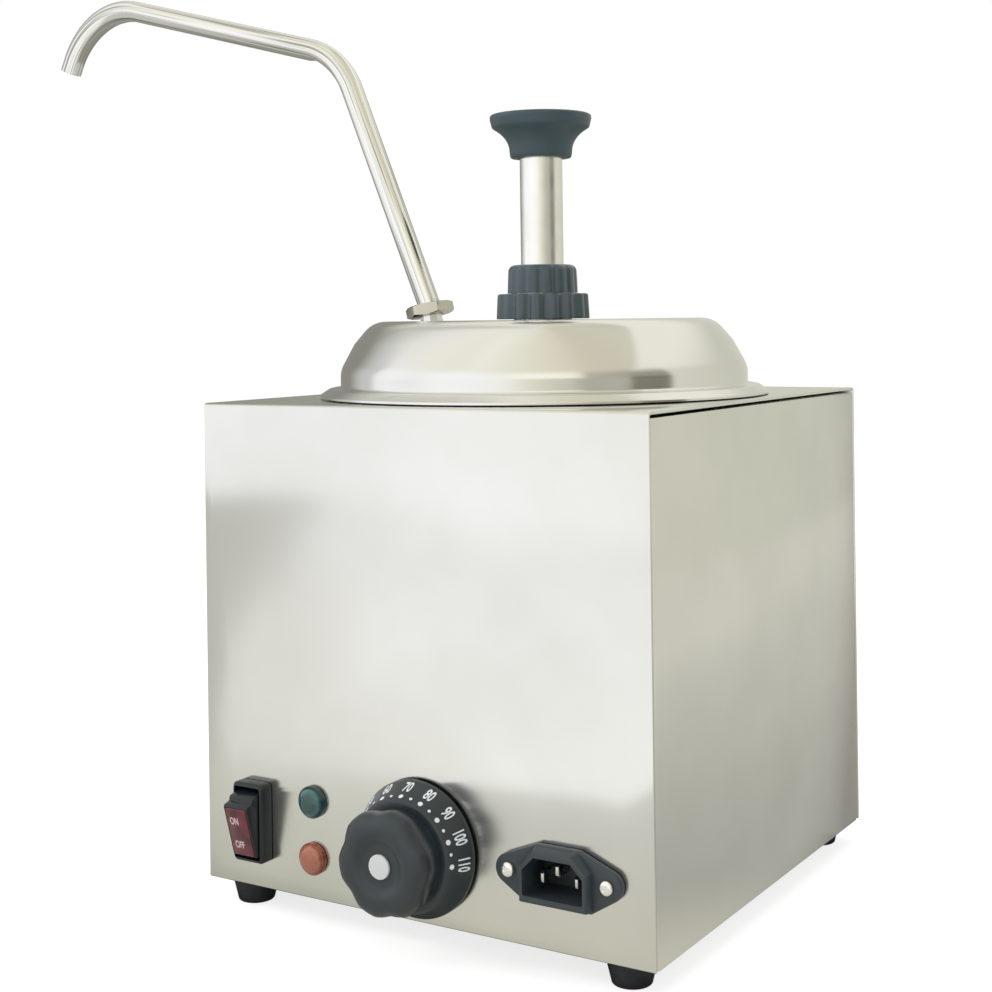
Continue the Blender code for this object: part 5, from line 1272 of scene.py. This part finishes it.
screw_head_radius = 2.7 * mm
screw_head_height = 1.5 * mm
screw_shank_radius = 1.7 * mm
screw_length = 11.0 * mm
screw_rim = 0.4 * mm
screw_flat_radius = 1.1 * mm
slot_half_width = 0.35 * mm
slot_half_length = 1.6 * mm
slot_depth = 0.9 * mm
for side, sign, twist in (("left", -1, 0.35), ("right", 1, 0.95)):
    head_low = plate_thickness + front_seat
    head_top = head_low + screw_head_height
    screw_place = on_panel(inlet_x + sign * screw_spacing / 2, inlet_z)
    pan = [(0, head_top - screw_length), (screw_shank_radius, head_top - screw_length),
           (screw_shank_radius, head_low), (screw_head_radius, head_low),
           (screw_head_radius, head_low + screw_rim)]
    for step in range(1, 7):
        angle = pi / 2 * step / 6
        pan.append((screw_flat_radius + (screw_head_radius - screw_flat_radius) * cos(angle),
                    head_low + screw_rim + (screw_head_height - screw_rim) * sin(angle)))
    pan.append((0, head_top))
    screw = spun("pan_screw_" + side, pan, bright_screw, 40, screw_place)
    for quarter in (0, 1):
        slot_turn = Matrix.Rotation(twist + quarter * pi / 2, 4, "Z")
        bore(screw, oblong(slot_half_length, slot_half_width), head_top - slot_depth, head_top + 1 * mm,
             screw_place @ slot_turn)
    fitted(screw, "housing", "plated_steel", "inlet_screw_" + side)


# Dial
# A one-piece thermostat knob moulded in black ABS: a conical skirt printed in white, and a grip
# with six shallow scallops and a dished face. A flat bezel with an index tab lies behind it.
bezel_radius = 24.0 * mm
bezel_bore = 18.6 * mm
bezel_thickness = 0.9 * mm
tab_radius = 25.9 * mm
tab_angle = radians(99.0)
tab_half = radians(3.5)
tab_spread = radians(15.0)
grip_lobes = 6
grip_turn = radians(40.0)
grip_lobe_depth = 0.9 * mm
hub_radius = 5.8 * mm
shaft_radius = 3.3 * mm

dial_plastic, tree, shader = finish("moulded_abs_black", "#252D31", 0.36, ior=1.53)
dial_clouds = noise(tree, (14.0, 14.0, 14.0), 2.0)
toned(tree, shader, dial_clouds, "#232B30", "#2B3337")
tree.links.new(spread(tree, dial_clouds, 0.30, 0.42), shader.inputs["Roughness"])
bumped(tree, shader, ((noise(tree, (0.4, 0.4, 0.4), 3.0), 0.008),))

dial_place = on_panel(dial_x, dial_z)
bezel_points = [(tab_radius * cos(tab_angle + side * tab_half), tab_radius * sin(tab_angle + side * tab_half))
                for side in (-1, 1)]
bezel_sweep = 2 * pi - 2 * tab_spread
for step in range(91):
    angle = tab_angle + tab_spread + bezel_sweep * step / 90
    bezel_points.append((bezel_radius * cos(angle), bezel_radius * sin(angle)))
bezel = prism("dial_bezel_ring", bezel_points, front_seat, front_seat + bezel_thickness, dial_plastic,
              0.2 * mm, dial_place)
bore(bezel, ring_points(bezel_bore, 90), -2 * mm, 4 * mm, dial_place)
fitted(bezel, "housing", "black_plastic", "dial_bezel")

skirt_profile = [(r * mm, t * mm) for r, t in (
    (25.60, 1.30), (25.60, 2.90), (25.40, 3.30), (24.60, 4.90), (23.80, 6.50), (22.95, 8.15), (22.10, 9.80),
    (21.40, 11.20), (20.75, 12.10), (20.10, 12.50), (19.30, 12.58), (18.30, 12.62))]
grip_profile = [(r * mm, t * mm, share) for r, t, share in (
    (17.50, 12.62, 0.0), (17.40, 13.30, 0.1), (17.65, 14.20, 0.3), (18.50, 16.20, 0.6), (19.30, 18.80, 0.85),
    (19.60, 21.00, 1.0), (19.50, 22.50, 1.0), (19.10, 23.70, 1.0), (18.40, 24.80, 1.0), (17.30, 25.80, 0.95),
    (15.90, 26.45, 0.8), (14.20, 26.72, 0.6), (12.10, 26.72, 0.35), (10.90, 26.50, 0.15), (9.90, 26.05, 0.0),
    (9.00, 25.45, 0.0), (8.20, 25.05, 0.0), (7.20, 24.90, 0.0), (5.00, 24.88, 0.0))]
dial_steps = 144


def grip_ring(radius, height, share):
    """A ring of the grip, scalloped six times by its share of the full depth."""
    ring = []
    for i in range(dial_steps):
        angle = 2 * pi * i / dial_steps
        wave = cos(grip_lobes * (angle - grip_turn))
        dip = grip_lobe_depth * share * (max(wave, -0.4) if wave < 0.6 else wave * wave * 0.6 + wave * 0.64)
        ring.append(((radius - dip) * cos(angle), (radius - dip) * sin(angle), height))
    return ring


under_profile = [(24.2, 1.30), (24.2, 2.80), (18.7, 11.0), (hub_radius / mm, 11.0), (hub_radius / mm, 6.3),
                 (shaft_radius / mm, 6.3), (shaft_radius / mm, 21.5)]
knob_rings = [grip_ring(r * mm, t * mm, 0.0) for r, t in reversed(under_profile)]
knob_rings += [grip_ring(r, t, 0.0) for r, t in skirt_profile]
knob_rings += [grip_ring(r, t, share) for r, t, share in grip_profile]
dial_knob = lofted("thermostat_knob", knob_rings, dial_plastic, dial_place, 40.0)
fitted(dial_knob, "dial", "black_plastic", "dial_knob")

disc_satin, tree, shader = finish("satin_anodised_disc", "#C9CCCC", 0.34)
bumped(tree, shader, ((noise(tree, (0.3, 6.0, 6.0), 2.0), 0.004),))
disc_radius = 4.5 * mm
disc_low = 25.0 * mm
disc_top = 25.9 * mm
disc = spun("dial_cap_disc", rounded_outline([
    (0, disc_low, 0), (disc_radius, disc_low, 0), (disc_radius, disc_top, 0.3 * mm), (0, disc_top, 0)], 4),
    disc_satin, 56, dial_place)
fitted(disc, "dial", "grey_disc", "dial_cap")

dial_ink, tree, shader = finish("pad_print_white", "#E8ECEC", 0.48)
toned(tree, shader, noise(tree, (0.5, 0.5, 0.5), 3.0), "#EDF1F1", "#C6CCCC")

skirt_reach = [0.0]
for (r0, t0), (r1, t1) in zip(skirt_profile, skirt_profile[1:]):
    skirt_reach.append(skirt_reach[-1] + hypot(r1 - r0, t1 - t0))


def on_skirt(reach, angle, lift):
    """The point on the skirt this far up its outside from the rim, at an angle, lifted off it."""
    for index in range(len(skirt_reach) - 1):
        if reach <= skirt_reach[index + 1] or index == len(skirt_reach) - 2:
            share = (reach - skirt_reach[index]) / (skirt_reach[index + 1] - skirt_reach[index])
            (r0, t0), (r1, t1) = skirt_profile[index], skirt_profile[index + 1]
            run = Vector((r1 - r0, t1 - t0)).normalized()
            radius = r0 + (r1 - r0) * share + run.y * lift
            height = t0 + (t1 - t0) * share - run.x * lift
            return (radius * cos(angle), radius * sin(angle), height)


def print_on_skirt(piece, reach, angle):
    """Bend a flat print round the skirt: its middle at this reach and angle, its tops to the rim."""
    around = hypot(*on_skirt(reach, 0.0, 0.0)[:2])
    for v in piece.data.vertices:
        v.co = Vector(on_skirt(reach - v.co.y, angle - v.co.x / around, 0.03 * mm + v.co.z))
    piece.data.transform(dial_place)
    fitted(piece, "dial", "grey_disc")


dot_reach = 10.3 * mm
number_reach = 5.1 * mm
number_turn = radians(-0.4)
number_height = 4.8 * mm
number_condense = 0.54
number_embolden = 0.14 * mm
ten_dot_radius = 0.95 * mm
five_dot_radius = 0.60 * mm
ink_thickness = 0.05 * mm
bar_half_width = 2.3 * mm
bar_half_height = 0.6 * mm
bar_angle = radians(261.0)
degrees_per_ten = 23.36
scale_end = -2.0
for number in range(30, 120, 10):
    angle = radians(scale_end + degrees_per_ten * (110 - number) / 10)
    figures = lettering("dial_number_" + str(number), str(number), number_height, dial_ink, number_condense,
                        number_embolden)
    print_on_skirt(figures, number_reach, angle + number_turn)
    for half, radius in ((0.0, ten_dot_radius), (0.5, five_dot_radius)):
        if number == 30 and half > 0:
            continue
        dot = prism("dial_dot_" + str(int(number + 10 * half)) + ("_half" if half else ""),
                    ring_points(radius, 20), 0.0, ink_thickness, dial_ink)
        print_on_skirt(dot, dot_reach, angle + radians(degrees_per_ten * half))
bar = prism("dial_off_bar", oblong(bar_half_width, bar_half_height), 0.0, ink_thickness, dial_ink)
print_on_skirt(bar, number_reach, bar_angle)
